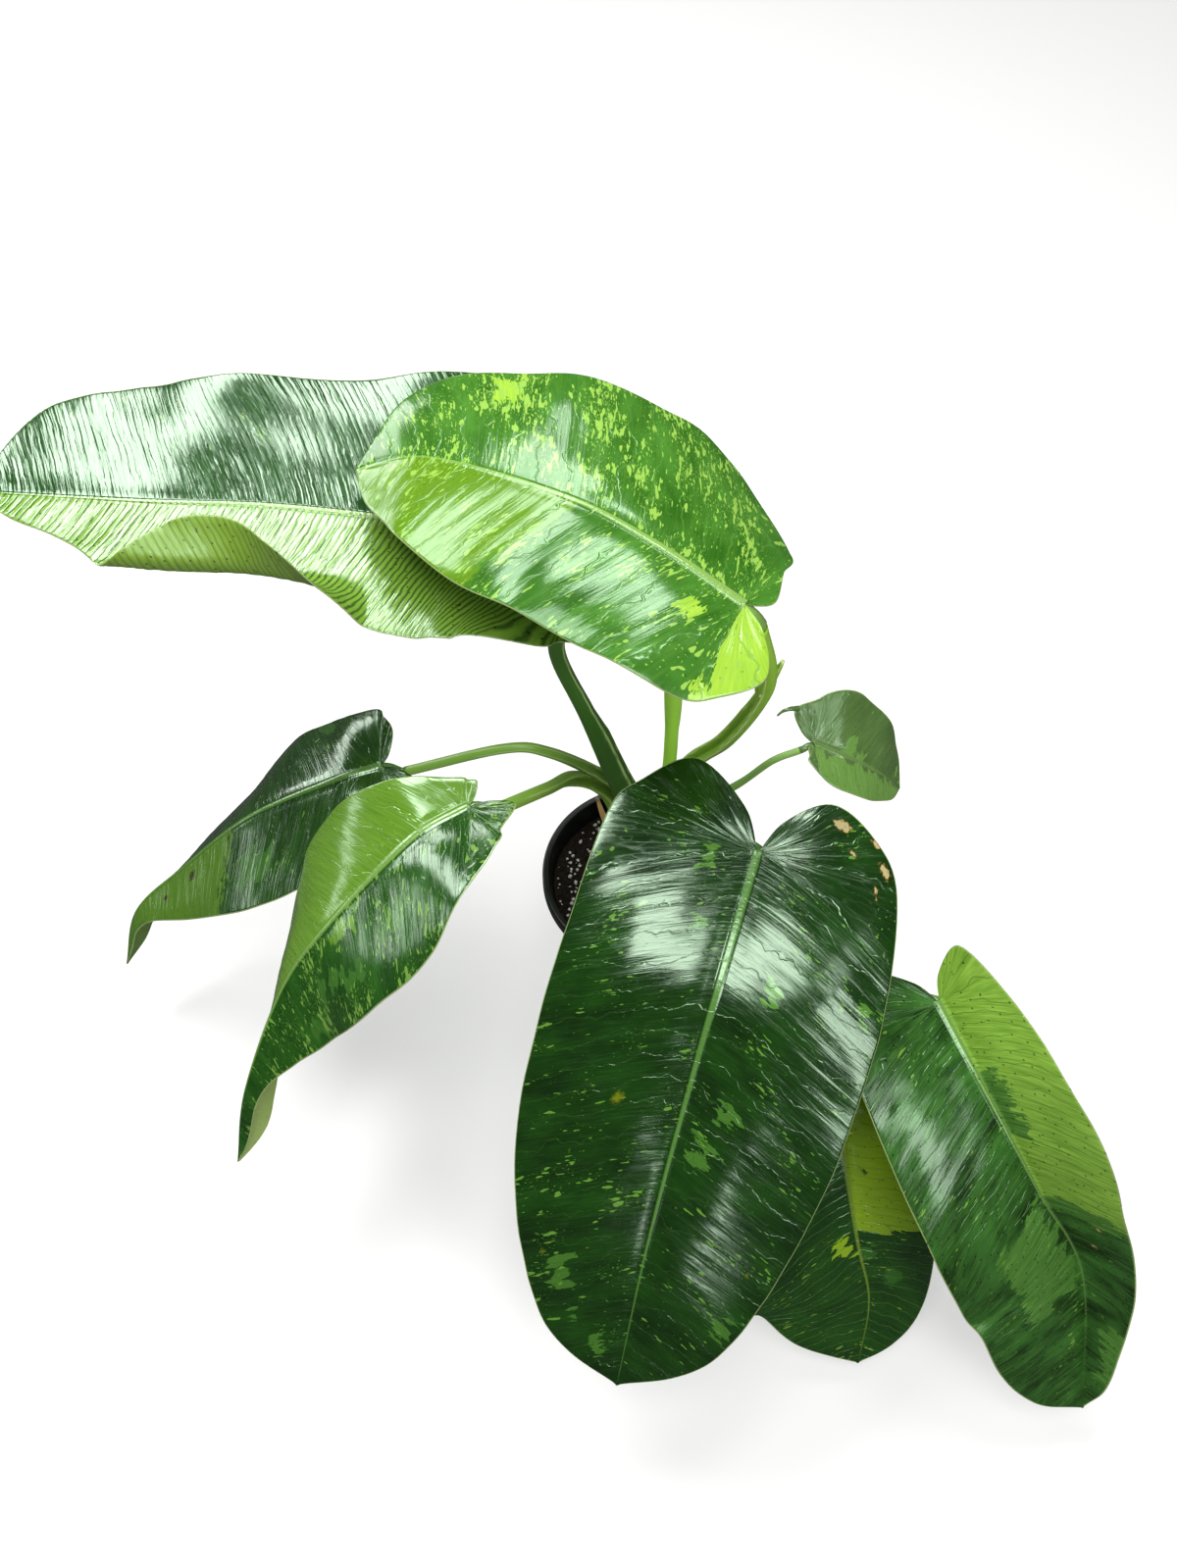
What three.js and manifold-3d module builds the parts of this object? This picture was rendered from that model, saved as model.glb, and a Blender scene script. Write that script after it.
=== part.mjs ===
// A variegated philodendron with long heart-shaped leaves, in a black grower's pot.
// Millimetres, +Z up, the origin at the middle of the pot's base; -Y faces the viewer.
import * as THREE from 'three';
import Module from 'manifold-3d';

const wasm = await Module();
wasm.setup();

// Driving dimensions.
const GAP = 0.3;
const POT_HEIGHT = 95;
const POT_RIM_RADIUS = 52.5;
const POT_BASE_RADIUS = 37;
const POT_WALL = 1.6;
const RIM_BAND = 8;
const DRAIN_RADIUS = 4;
const DRAIN_COUNT = 6;
const SOIL_TOP = 83;
const SOIL_RELIEF = 1.6;
const STEM_PATH = [[0, 2, 48], [0, 4, 78], [1, 10, 106], [2, 18, 133]];
const STEM_RADIUS = 6.2;
const EAR_RADIUS = 2.4;
const TAIL_RADIUS = 1.4;
const BLADE_THICKNESS = 0.8;
const KEEL_DEPTH = 3.4;
const KEEL_WIDTH = 3.2;
const VEIN_LEAD = 0.45;

// The leaves.
// midrib: points from the notch where the stalk joins to the tip. faces: where the blade looks at the notch.
// Each half, left and right as seen from the notch: lobe and shoulder (behind the notch, across),
// widths across at the shares of the length in at, then degrees at base, middle and tip:
// fold at the midrib, curl added out to the edge, and rim, an upward roll of the outer margin.
// ear: the free end of the stalk's sheath. tail: the drawn-out end of a lobe.
const AT = [0, 0.2, 0.4, 0.6, 0.8, 0.93];
const LEAVES = {
  front: {
    midrib: [[41, -60, 214], [24, -111, 196], [13, -142, 170], [-4, -193, 124], [-17, -240, 72]],
    faces: [0, -0.3, 1], backward: -10,
    left: { lobe: [29, 25], shoulder: [-20, 45], widths: [60, 68, 68, 63, 50, 32],
      fold: [8, 8, 4], curl: [-22, -25, -20], wave: [1.5, 2.5, 40] },
    right: { lobe: [32, 36], shoulder: [-16, 56], widths: [65, 67, 68, 65, 50, 32],
      fold: [8, 8, 4], curl: [-22, -25, -20], wave: [1.5, 3, 0] },
    stalk: [[3, 14, 120], [11, 4, 142], [22, -25, 178], [31, -47, 198]], radius: [5, 3.4], sheath: 0.3,
  },
  right: {
    midrib: [[118, -109, 172], [136, -146, 160], [159, -175, 130], [185, -198, 88], [195, -241, 26]],
    faces: [0, -0.2, 1], backward: 10,
    left: { lobe: [19, 18], shoulder: [-14, 24], at: [0.03, 0.15, 0.3, 0.45, 0.6, 0.8, 0.93],
      widths: [30, 37, 40, 35, 26, 17, 10], fold: [50, 62, 55], curl: [5, 5, 20], wave: [1.2, 3, 90] },
    right: { lobe: [22, 22], shoulder: [-10, 38], widths: [46, 50, 54, 56, 47, 28],
      fold: [5, 5, 0], curl: [-10, -15, -10], wave: [2, 3, 30] },
    stalk: [[6, 12, 104], [25, -2, 122], [58, -38, 138], [88, -82, 147], [107, -103, 158]],
    radius: [4.6, 3], sheath: 0.2,
  },
  under: {
    midrib: [[78, -108, 120], [83, -144, 108], [92, -178, 72], [100, -198, 43], [97, -220, 16]],
    faces: [0, -0.3, 1], backward: -10,
    left: { lobe: [20, 20], shoulder: [-10, 36], widths: [40, 42, 39, 36, 27, 15],
      fold: [8, 8, 4], curl: [-15, -15, -20], wave: [1, 2, 0] },
    right: { lobe: [20, 20], shoulder: [-10, 36], widths: [46, 56, 60, 61, 52, 35],
      fold: [8, 8, 4], curl: [-15, -15, -10], wave: [1.5, 2, 90] },
    stalk: [[4, 9, 93], [18, -12, 110], [45, -58, 122], [66, -90, 117]], radius: [4.4, 2.8], sheath: 0.15,
  },
  left_upper: {
    midrib: [[-127, 17, 165], [-150, 11, 161], [-195, 6, 136], [-235, -1, 99], [-264, -10, 71],
      [-276, -24, 37]],
    faces: [0, -0.2, 1], backward: 0,
    left: { lobe: [17, 19], shoulder: [-8, 31], widths: [40, 47, 46, 31, 11, 4],
      fold: [0, 5, -10], curl: [-5, -5, -20], wave: [1.2, 2.5, 0] },
    right: { lobe: [9, 18], shoulder: [-6, 29], widths: [38, 47, 48, 42, 26, 13],
      fold: [-10, -35, -70], curl: [-20, -20, -20], wave: [3, 3, 180] },
    stalk: [[1, 12, 99], [-11, 25, 127], [-23, 27, 142], [-47, 15, 178], [-68, 13, 184], [-115, 15, 163]],
    radius: [4, 2.4], sheath: 0.45,
  },
  left_lower: {
    midrib: [[-80, -35, 209], [-104, -49, 204], [-141, -73, 174], [-165, -90, 144], [-184, -122, 108],
      [-191, -145, 76]],
    faces: [0, -0.2, 1], backward: 0,
    left: { lobe: [17, 17], shoulder: [-6, 26], at: [0, 0.2, 0.4, 0.6, 0.7, 0.8, 0.93],
      widths: [33, 52, 45, 33, 21, 9, 5],
      fold: [36, 5, -20], curl: [-10, -5, -10], wave: [1.5, 2.5, 90] },
    right: { lobe: [9, 8], shoulder: [-6, 11], widths: [16, 40, 48, 41, 26, 15],
      fold: [0, -30, -110], curl: [-10, -20, -30], wave: [1.5, 2.5, 0] },
    stalk: [[-3, 12, 96], [-12, 22, 110], [-21, 29, 126], [-36, 20, 150], [-48, -8, 182], [-68, -34, 205]],
    radius: [4.6, 3], sheath: 0.6,
  },
  back_large: {
    midrib: [[-32, 41, 260], [-63, 60, 266], [-97, 70, 271], [-161, 73, 279], [-216, 71, 284],
      [-293, 79, 282]],
    faces: [0, -0.2, 1], backward: 0,
    left: { lobe: [20, 18], shoulder: [-8, 28], at: [0, 0.15, 0.3, 0.4, 0.5, 0.65, 0.8, 0.93],
      widths: [36, 54, 57, 53, 60, 60, 26, 12], columns: 8,
      fold: [15, 5, 5], curl: [-10, -5, -5], rim: [-420, 105, 120], wave: [1.5, 3, 0] },
    right: { lobe: [30, 28], shoulder: [-14, 50], widths: [78, 84, 69, 64, 54, 38],
      fold: [5, 5, 5], curl: [-10, -10, -10], wave: [2.5, 3.5, 60] },
    stalk: [[-2, 18, 124], [-12, 17, 143], [-29, 27, 190], [-43, 36, 226], [-38, 40, 249]],
    radius: [5.6, 3.8], sheath: 0.55,
  },
  back_right: {
    midrib: [[31, -4, 303], [-3, 19, 312], [-39, 40, 317], [-94, 70, 309], [-127, 79, 294]],
    faces: [0.1, -0.3, 1], backward: 0,
    left: { lobe: [24, 22], shoulder: [-14, 38], widths: [48, 52, 54, 50, 38, 24],
      fold: [8, 8, 4], curl: [-20, -20, -20], wave: [2, 3, 0] },
    right: { lobe: [9, 10], shoulder: [-4, 26], widths: [43, 64, 67, 61, 48, 32],
      fold: [-10, 2, 4], curl: [-45, -22, -20], wave: [2, 3.5, 90] },
    stalk: [[3, 14, 99], [19, 25, 150], [35, 17, 186], [45, 8, 226], [46, 2, 254], [38, -3, 288]],
    ear: [[44.5, 5.5, 236], [48.5, 4, 249], [51, 3, 260]],
    radius: [4.4, 3.4], sheath: 0.75,
  },
  small: {
    midrib: [[74, 11, 190], [89, 7, 186], [104, 6, 176], [118, 7, 160]],
    faces: [0, -0.2, 1], backward: 0, rows: 9,
    left: { lobe: [14, 12], shoulder: [-6, 20], widths: [26, 30, 29, 26, 21, 14],
      fold: [20, 10, 0], curl: [0, 0, 0], wave: [1, 2, 0] },
    right: { lobe: [2, 3], shoulder: [0, 7], widths: [9, 15, 16, 15, 11, 7],
      fold: [0, 0, 0], curl: [-10, -10, -10], wave: [0.8, 2, 90] },
    stalk: [[6, 12, 108], [28, 13, 138], [44, 12, 158], [56, 9, 180], [68, 10, 187]],
    tail: [[67, 24.5, 199.5], [63, 23.5, 200.5], [59.5, 22.5, 200], [57.2, 21.8, 197.5]],
    radius: [3, 1.7], sheath: 0.2,
  },
};

// Small tools.
const radians = THREE.MathUtils.degToRad;
const vec = (p) => new THREE.Vector3(...p);

function curveThrough(points) {
  return new THREE.CatmullRomCurve3(points.map(vec), false, 'catmullrom', 0.5);
}

function threeWay([a, b, c], t) {
  const u = Math.min(Math.max(t, 0), 1);
  return a * (1 - u) * (1 - 2 * u) + 4 * b * u * (1 - u) + c * u * (2 * u - 1);
}

function solid(vertices, triangles) {
  const mesh = new wasm.Mesh({
    numProp: 3,
    vertProperties: new Float32Array(vertices.flatMap((v) => [v.x, v.y, v.z])),
    triVerts: new Uint32Array(triangles.flat()),
  });
  return new wasm.Manifold(mesh);
}

// What is left of a rod trimmed at its neighbours, without loose offcuts.
function trimmed(shape, neighbours) {
  const pieces = shape.subtract(neighbours).decompose();
  return pieces.sort((a, b) => b.volume() - a.volume())[0];
}

// Lofted rods: stalks, stem, rolled leaf.
// radiusAt(t, angle): the radius at a share of the length and an angle from the upper side.
function rod(points, radiusAt, { sections = 12, sides = 10, upper = [0, 0, 1] } = {}) {
  const curve = curveThrough(points);
  const vertices = [];
  const triangles = [];
  let up = vec(upper);
  for (let i = 0; i <= sections; i += 1) {
    const t = i / sections;
    const centre = curve.getPointAt(t);
    const along = curve.getTangentAt(t);
    up = up.clone().addScaledVector(along, -up.dot(along)).normalize();
    const side = new THREE.Vector3().crossVectors(along, up);
    for (let k = 0; k < sides; k += 1) {
      const angle = (k / sides) * 2 * Math.PI;
      const r = radiusAt(t, angle);
      vertices.push(centre.clone().addScaledVector(up, r * Math.cos(angle))
        .addScaledVector(side, r * Math.sin(angle)));
    }
  }
  for (let i = 0; i < sections; i += 1) {
    for (let k = 0; k < sides; k += 1) {
      const a = i * sides + k;
      const b = i * sides + ((k + 1) % sides);
      triangles.push([a, b, b + sides], [a, b + sides, a + sides]);
    }
  }
  const first = vertices.length;
  vertices.push(curve.getPointAt(0), curve.getPointAt(1));
  const last = sections * sides;
  for (let k = 0; k < sides; k += 1) {
    const next = (k + 1) % sides;
    triangles.push([first, next, k], [first + 1, last + k, last + next]);
  }
  return solid(vertices, triangles);
}

// A rod that narrows to a blunt point.
function pointed(points, radius) {
  return rod(points, (t) => radius * (1 - 0.7 * t), { sections: 5, sides: 6 });
}

// A bump of height 1 at an angle, about its spread wide.
function bump(angle, at, spread) {
  const away = Math.abs(Math.atan2(Math.sin(angle - at), Math.cos(angle - at)));
  return Math.max(0, 1 - away / spread);
}

// Blades.
class Blade {
  constructor(leaf) {
    this.leaf = leaf;
    const curve = curveThrough(leaf.midrib);
    const steps = 200;
    this.points = [];
    this.tangents = [];
    this.lengths = [0];
    for (let i = 0; i <= steps; i += 1) {
      this.points.push(curve.getPoint(i / steps));
      this.tangents.push(curve.getTangent(i / steps));
      if (i > 0) {
        this.lengths.push(this.lengths[i - 1] + this.points[i].distanceTo(this.points[i - 1]));
      }
    }
    this.length = this.lengths[steps];
    let normal = vec(leaf.faces);
    this.normals = this.tangents.map((tangent) => {
      normal = normal.clone().addScaledVector(tangent, -normal.dot(tangent)).normalize();
      return normal;
    });
  }

  // Point, direction to the tip, upward normal and leftward direction, s mm along the midrib.
  frame(s) {
    if (s < 0) {
      const bend = radians(this.leaf.backward) / 40;
      const angle = -s * bend;
      const ahead = this.tangents[0];
      const normal = this.normals[0];
      const reach = bend === 0 ? -s : Math.sin(angle) / bend;
      const rise = bend === 0 ? 0 : (1 - Math.cos(angle)) / bend;
      const [cosine, sine] = [Math.cos(angle), Math.sin(angle)];
      const point = this.points[0].clone().addScaledVector(ahead, -reach).addScaledVector(normal, rise);
      const tangent = ahead.clone().multiplyScalar(cosine).addScaledVector(normal, -sine);
      const up = normal.clone().multiplyScalar(cosine).addScaledVector(ahead, sine);
      return { point, tangent, up, left: new THREE.Vector3().crossVectors(up, tangent) };
    }
    let i = this.lengths.findIndex((l) => l >= s);
    i = i < 0 ? this.lengths.length - 2 : Math.max(i - 1, 0);
    const f = Math.min(1, (s - this.lengths[i]) / (this.lengths[i + 1] - this.lengths[i]));
    const point = this.points[i].clone().lerp(this.points[i + 1], f);
    const tangent = this.tangents[i].clone().lerp(this.tangents[i + 1], f).normalize();
    const up = this.normals[i].clone().lerp(this.normals[i + 1], f).normalize();
    return { point, tangent, up, left: new THREE.Vector3().crossVectors(up, tangent) };
  }

  // The edge of one half, (along, across) from the notch round the lobe to the tip.
  outline(half, count = 240) {
    const [back, across] = half.lobe;
    const stations = half.at ?? AT;
    const points = [[0, 0, 0], [-0.55 * back, 0.3 * across, 0], [-back, across, 0], [...half.shoulder, 0]];
    half.widths.forEach((w, i) => points.push([stations[i] * this.length, w, 0]));
    points.push([this.length, 0, 0]);
    return curveThrough(points).getPoints(count);
  }

  // The blade's middle surface at s along and w across a half, sign +1 for the left one.
  place(s, w, half, sign) {
    const { point, up, left } = this.frame(s);
    const t = s / this.length;
    const widest = Math.max(...half.widths);
    const fold = radians(threeWay(half.fold, t));
    const curl = radians(threeWay(half.curl, t));
    const rim = radians(Math.max(0, threeWay(half.rim ?? [0, 0, 0], t)));
    const steps = 12;
    let out = 0;
    const [height, count, phase] = half.wave;
    let rise = height * (w / widest) ** 2 * Math.sin(2 * Math.PI * count * t + radians(phase));
    for (let k = 0; k < steps; k += 1) {
      const share = ((k + 0.5) / steps) * (w / widest);
      const angle = fold + curl * share + rim * Math.min(1, Math.max(0, (share - 0.5) / 0.25));
      out += (Math.cos(angle) * w) / steps;
      rise += (Math.sin(angle) * w) / steps;
    }
    return point.clone().addScaledVector(left, sign * out).addScaledVector(up, rise);
  }

  // Start on the midrib and end on the edge for each row; the rows run as the side veins do.
  rows(half, fan, along) {
    const edge = this.outline(half);
    const key = edge.map((p) => p.x - VEIN_LEAD * p.y);
    let start = key.indexOf(Math.min(...key));
    while (key[start] < 0) {
      start += 1;
    }
    const rows = [];
    for (let i = 1; i <= fan; i += 1) {
      rows.push([0, edge[Math.round((i / fan) * start)]]);
    }
    let j = start;
    for (let i = 1; i < along; i += 1) {
      const m = (i / along) * this.length;
      while (key[j] < m) {
        j += 1;
      }
      rows.push([m, edge[j]]);
    }
    return rows;
  }

  // A closed shell: both faces split alike, a keel below the midrib.
  shell() {
    const fan = 6;
    const along = this.leaf.rows ?? 14;
    const middle = [this.frame(0).point];
    const keel = [KEEL_DEPTH];
    for (let i = 1; i <= along; i += 1) {
      middle.push(this.frame((i / along) * this.length).point);
      keel.push(KEEL_DEPTH * (1 - 0.85 * (i / along)));
    }
    keel[along] = 0;
    const faces = [];
    for (const [half, sign] of [[this.leaf.left, 1], [this.leaf.right, -1]]) {
      const columns = half.columns ?? 4;
      const grid = this.rows(half, fan, along).map(([m, end]) => {
        const span = Math.hypot(end.x - m, end.y);
        const ribEdge = Math.min((KEEL_WIDTH * (1 - (0.7 * m) / this.length)) / span, 0.12);
        const row = [Math.round((m / this.length) * along)];
        for (let c = 0; c <= columns; c += 1) {
          const share = c === 0 ? ribEdge : c / columns;
          middle.push(this.place(m + (end.x - m) * share, end.y * share, half, sign));
          keel.push(0);
          row.push(middle.length - 1);
        }
        return row;
      });
      const add = (a, b, c) => faces.push(sign > 0 ? [a, b, c] : [a, c, b]);
      for (let r = 0; r + 1 < grid.length; r += 1) {
        for (let c = 0; c <= columns; c += 1) {
          const [a, b, d, e] = [grid[r][c], grid[r + 1][c], grid[r + 1][c + 1], grid[r][c + 1]];
          if (a !== b) {
            add(a, b, d);
          }
          add(a, d, e);
        }
      }
      const final = grid[grid.length - 1];
      for (let c = 0; c <= columns; c += 1) {
        add(final[c], along, final[c + 1]);
      }
    }
    return thicken(middle, faces, keel);
  }

  // The short knee where the stalk meets the blade, from the stalk's end to under the midrib.
  knee() {
    const { stalk, radius } = this.leaf;
    const r = radius[1];
    const [root, on] = [this.frame(0), this.frame(5 * r)];
    const rising = curveThrough(stalk).getTangentAt(1);
    const points = [
      vec(stalk[stalk.length - 1]).addScaledVector(rising, GAP),
      vec(stalk[stalk.length - 1]).addScaledVector(rising, GAP + r),
      root.point.clone().addScaledVector(root.up, -r).addScaledVector(root.tangent, -0.4 * r),
      on.point.clone().addScaledVector(on.up, -0.9 * r),
    ];
    return rod(points.map((p) => p.toArray()), (t) => r * (1 - 0.45 * t), { sections: 4, sides: 8 });
  }
}

function thicken(middle, faces, keel) {
  const normals = middle.map(() => new THREE.Vector3());
  const edges = new Map();
  for (const [a, b, c] of faces) {
    const n = new THREE.Vector3().crossVectors(
      middle[b].clone().sub(middle[a]),
      middle[c].clone().sub(middle[a]),
    );
    for (const [u, v] of [[a, b], [b, c], [c, a]]) {
      normals[u].add(n);
      edges.set(`${u},${v}`, [u, v]);
    }
  }
  const count = middle.length;
  const half = BLADE_THICKNESS / 2;
  normals.forEach((n) => n.normalize());
  const top = middle.map((p, i) => p.clone().addScaledVector(normals[i], half));
  const bottom = middle.map((p, i) => p.clone().addScaledVector(normals[i], -half - keel[i]));
  const triangles = [...faces, ...faces.map(([a, b, c]) => [a + count, c + count, b + count])];
  for (const [u, v] of edges.values()) {
    if (!edges.has(`${v},${u}`)) {
      triangles.push([v, u, u + count], [v, u + count, v + count]);
    }
  }
  return solid([...top, ...bottom], triangles);
}

// The plant.
function stemShape(extra = 0) {
  const sections = 16;
  const radiusAt = (t) => {
    const ring = Math.round(t * sections) % 3 === 2 ? 0.6 : 0;
    return STEM_RADIUS * (t === 1 ? 0.7 : 1 - 0.12 * t) + ring + extra;
  };
  return rod(STEM_PATH, radiusAt, { sections, sides: 10, upper: [0, -1, 0] });
}

function stalkShape(leaf, extra = 0) {
  const [low, high] = leaf.radius;
  const axis = vec(leaf.stalk[1]).sub(vec(leaf.stalk[0])).setZ(0).normalize();
  const radiusAt = (t, angle) => {
    const body = low + (high - low) * Math.min(1, t * 1.5);
    const wings = Math.min(1, Math.max(0, (leaf.sheath - t) / 0.12));
    const wing = 0.5 * wings * (bump(angle, 0.6, 0.6) + bump(angle, -0.6, 0.6));
    return body * (1 + wing - 0.25 * wings * bump(angle, 0, 0.5)) + extra;
  };
  const options = { sections: 10, sides: 8, upper: axis.negate().setZ(0.5).toArray() };
  const stalk = rod(leaf.stalk, radiusAt, options);
  return leaf.ear ? stalk.add(pointed(leaf.ear, EAR_RADIUS + extra)) : stalk;
}

function newLeafShape(extra = 0) {
  const path = [[3, 18, 124], [9, 19, 150], [9, 18, 200], [7, 16, 252]];
  const radiusAt = (t, angle) => {
    const body = t < 0.55 ? 3.2 : 3.2 + 0.8 * Math.sin(((t - 0.55) / 0.45) * Math.PI);
    const point = t > 0.8 ? 1 - 0.85 * ((t - 0.8) / 0.2) : 1;
    return body * point * (1 + (t > 0.55 ? 0.12 * bump(angle, 1, 0.8) : 0)) + extra;
  };
  return rod(path, radiusAt, { sections: 12, sides: 8, upper: [0, -1, 0] });
}

function strip(points, width, curlDegrees) {
  const curve = curveThrough(points);
  const rows = 6;
  const columns = 4;
  const outward = new THREE.Vector3(0, -1, 0.4);
  const middle = [];
  const faces = [];
  for (let i = 0; i <= rows; i += 1) {
    const centre = curve.getPointAt(i / rows);
    const along = curve.getTangentAt(i / rows);
    const up = outward.clone().addScaledVector(along, -along.dot(outward)).normalize();
    const side = new THREE.Vector3().crossVectors(up, along);
    const wide = width * (1 - 0.7 * (i / rows) ** 2);
    for (let c = 0; c <= columns; c += 1) {
      const angle = radians(curlDegrees) * (c / columns - 0.5);
      const r = wide / radians(curlDegrees);
      middle.push(centre.clone().addScaledVector(side, r * Math.sin(angle))
        .addScaledVector(up, r * (1 - Math.cos(angle))));
      if (i > 0 && c > 0) {
        const d = middle.length - 1;
        const [a, b, e] = [d - columns - 2, d - 1, d - columns - 1];
        faces.push([a, b, d], [a, d, e]);
      }
    }
  }
  return thicken(middle, faces, middle.map(() => 0));
}

// Pot and soil.
function turned(profile, segments) {
  const lathe = new THREE.LatheGeometry(profile.map(([r, z]) => new THREE.Vector2(r, z)), segments);
  const position = lathe.getAttribute('position');
  const vertices = [];
  const ids = new Map();
  const own = [];
  for (let i = 0; i < position.count; i += 1) {
    const v = new THREE.Vector3(position.getX(i), -position.getZ(i), position.getY(i));
    const name = v.toArray().map((x) => Math.round(x * 1e4)).join();
    if (!ids.has(name)) {
      ids.set(name, vertices.length);
      vertices.push(v);
    }
    own.push(ids.get(name));
  }
  const index = lathe.getIndex().array;
  const triangles = [];
  for (let i = 0; i < index.length; i += 3) {
    const [a, b, c] = [own[index[i]], own[index[i + 1]], own[index[i + 2]]];
    if (a !== b && b !== c && a !== c) {
      triangles.push([a, b, c]);
    }
  }
  return solid(vertices, triangles);
}

function innerRadius(z) {
  return POT_BASE_RADIUS - POT_WALL + ((POT_RIM_RADIUS - 2 - POT_BASE_RADIUS) * z) / POT_HEIGHT;
}

function potShape() {
  const outer = (z) => innerRadius(z) + POT_WALL;
  const under = POT_HEIGHT - RIM_BAND;
  let pot = turned([
    [0, 0], [POT_BASE_RADIUS - 2, 0], [POT_BASE_RADIUS - 0.3, 1.2], [outer(under), under],
    [POT_RIM_RADIUS - 0.6, under], [POT_RIM_RADIUS, under + 1], [POT_RIM_RADIUS, POT_HEIGHT - 0.8],
    [POT_RIM_RADIUS - 1, POT_HEIGHT], [innerRadius(POT_HEIGHT) + 0.5, POT_HEIGHT],
    [innerRadius(POT_HEIGHT), POT_HEIGHT - 0.8], [innerRadius(2), 2], [0, 2],
  ], 48);
  for (let i = 0; i < DRAIN_COUNT; i += 1) {
    const turn = (i * 360) / DRAIN_COUNT;
    const hole = wasm.Manifold.cylinder(20, DRAIN_RADIUS, DRAIN_RADIUS, 16, true);
    pot = pot.subtract(hole.translate([POT_BASE_RADIUS - 8, 0, 0]).rotate([0, 0, turn]));
  }
  return pot;
}

// The uneven top of the soil at a radius and an angle.
function soilHeight(r, angle) {
  const lumps = Math.sin(r * 0.35 + 3 * angle) + Math.sin(r * 0.21 - 5 * angle + 1);
  return SOIL_TOP + (SOIL_RELIEF / 3) * (lumps + Math.cos(7 * angle + r / 4));
}

function soilShape() {
  const turns = 28;
  const rings = 6;
  const vertices = [new THREE.Vector3(0, 0, 2 + GAP), new THREE.Vector3(0, 0, SOIL_TOP)];
  const triangles = [];
  const rim = innerRadius(SOIL_TOP) - GAP;
  for (let k = 0; k < turns; k += 1) {
    const angle = (k / turns) * 2 * Math.PI;
    const spoke = new THREE.Vector3(Math.cos(angle), Math.sin(angle), 0);
    vertices.push(spoke.clone().multiplyScalar(innerRadius(2 + GAP) - GAP).setZ(2 + GAP));
    for (let j = rings; j > 0; j -= 1) {
      const r = (rim * j) / rings;
      vertices.push(spoke.clone().multiplyScalar(r).setZ(j < rings ? soilHeight(r, angle) : SOIL_TOP));
    }
  }
  const at = (k, j) => 2 + (k % turns) * (rings + 1) + j;
  for (let k = 0; k < turns; k += 1) {
    triangles.push([0, at(k + 1, 0), at(k, 0)], [1, at(k, rings), at(k + 1, rings)]);
    for (let j = 0; j < rings; j += 1) {
      triangles.push([at(k, j), at(k + 1, j), at(k + 1, j + 1)], [at(k, j), at(k + 1, j + 1), at(k, j + 1)]);
    }
  }
  let soil = solid(vertices, triangles);
  for (let i = 0; i < 22; i += 1) {
    const angle = i * 2.4;
    const r = 12 + 32 * Math.sqrt((i + 0.5) / 22);
    const size = 2 + 0.8 * Math.sin(i * 1.7);
    const crumb = wasm.Manifold.sphere(size, 4).rotate([i * 31, i * 17, 0]);
    soil = soil.add(crumb.translate([r * Math.cos(angle), r * Math.sin(angle), soilHeight(r, angle)]));
  }
  return soil.subtract(stemShape(GAP));
}

// Assembly.
const part = new THREE.Group();
part.name = 'potted_philodendron';

function addNode(name, shape, anchor, colour, roughness) {
  const mesh = shape.getMesh();
  const positions = [];
  for (const index of mesh.triVerts) {
    for (let k = 0; k < 3; k += 1) {
      positions.push(mesh.vertProperties[index * mesh.numProp + k] - anchor[k]);
    }
  }
  const geometry = new THREE.BufferGeometry();
  geometry.setAttribute('position', new THREE.Float32BufferAttribute(positions, 3));
  geometry.computeVertexNormals();
  const material = new THREE.MeshStandardMaterial({ color: colour, roughness, metalness: 0 });
  const node = new THREE.Mesh(geometry, material);
  node.name = name;
  node.position.set(...anchor);
  part.add(node);
}

addNode('pot', potShape(), [0, 0, 0], 0x17181a, 0.45);
addNode('soil', soilShape(), [0, 0, SOIL_TOP], 0x3a2a20, 0.95);
addNode('stem', stemShape(), STEM_PATH[1], 0x5f7a3a, 0.6);

let taken = stemShape(GAP);
addNode('new_leaf', trimmed(newLeafShape(), taken), [3, 18, 124], 0x9cbf62, 0.5);
taken = taken.add(newLeafShape(GAP));
for (const [name, leaf] of Object.entries(LEAVES)) {
  const blade = new Blade(leaf);
  addNode(`stalk_${name}`, trimmed(stalkShape(leaf), taken), leaf.stalk[0], 0x5d8a3a, 0.5);
  const bare = blade.shell().add(blade.knee());
  const whole = leaf.tail ? bare.add(pointed(leaf.tail, TAIL_RADIUS)) : bare;
  addNode(`blade_${name}`, whole, leaf.midrib[0], 0x2f5d2b, 0.35);
  taken = taken.add(stalkShape(leaf, GAP));
}
const dryLeft = strip([[-6, 4, 98], [-15, 8, 112], [-21, 12, 126], [-25, 17, 138]], 5, 70);
addNode('dry_sheath', trimmed(dryLeft, taken), [-6, 4, 98], 0xb79a6a, 0.8);

export default part;
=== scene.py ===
# A variegated philodendron in a black grower's pot: fine leaves, stalks, pot and soil.
# Shapes are worked out in millimetres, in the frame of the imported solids, and made in metres.
import math
from functools import partial
from typing import NamedTuple

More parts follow.
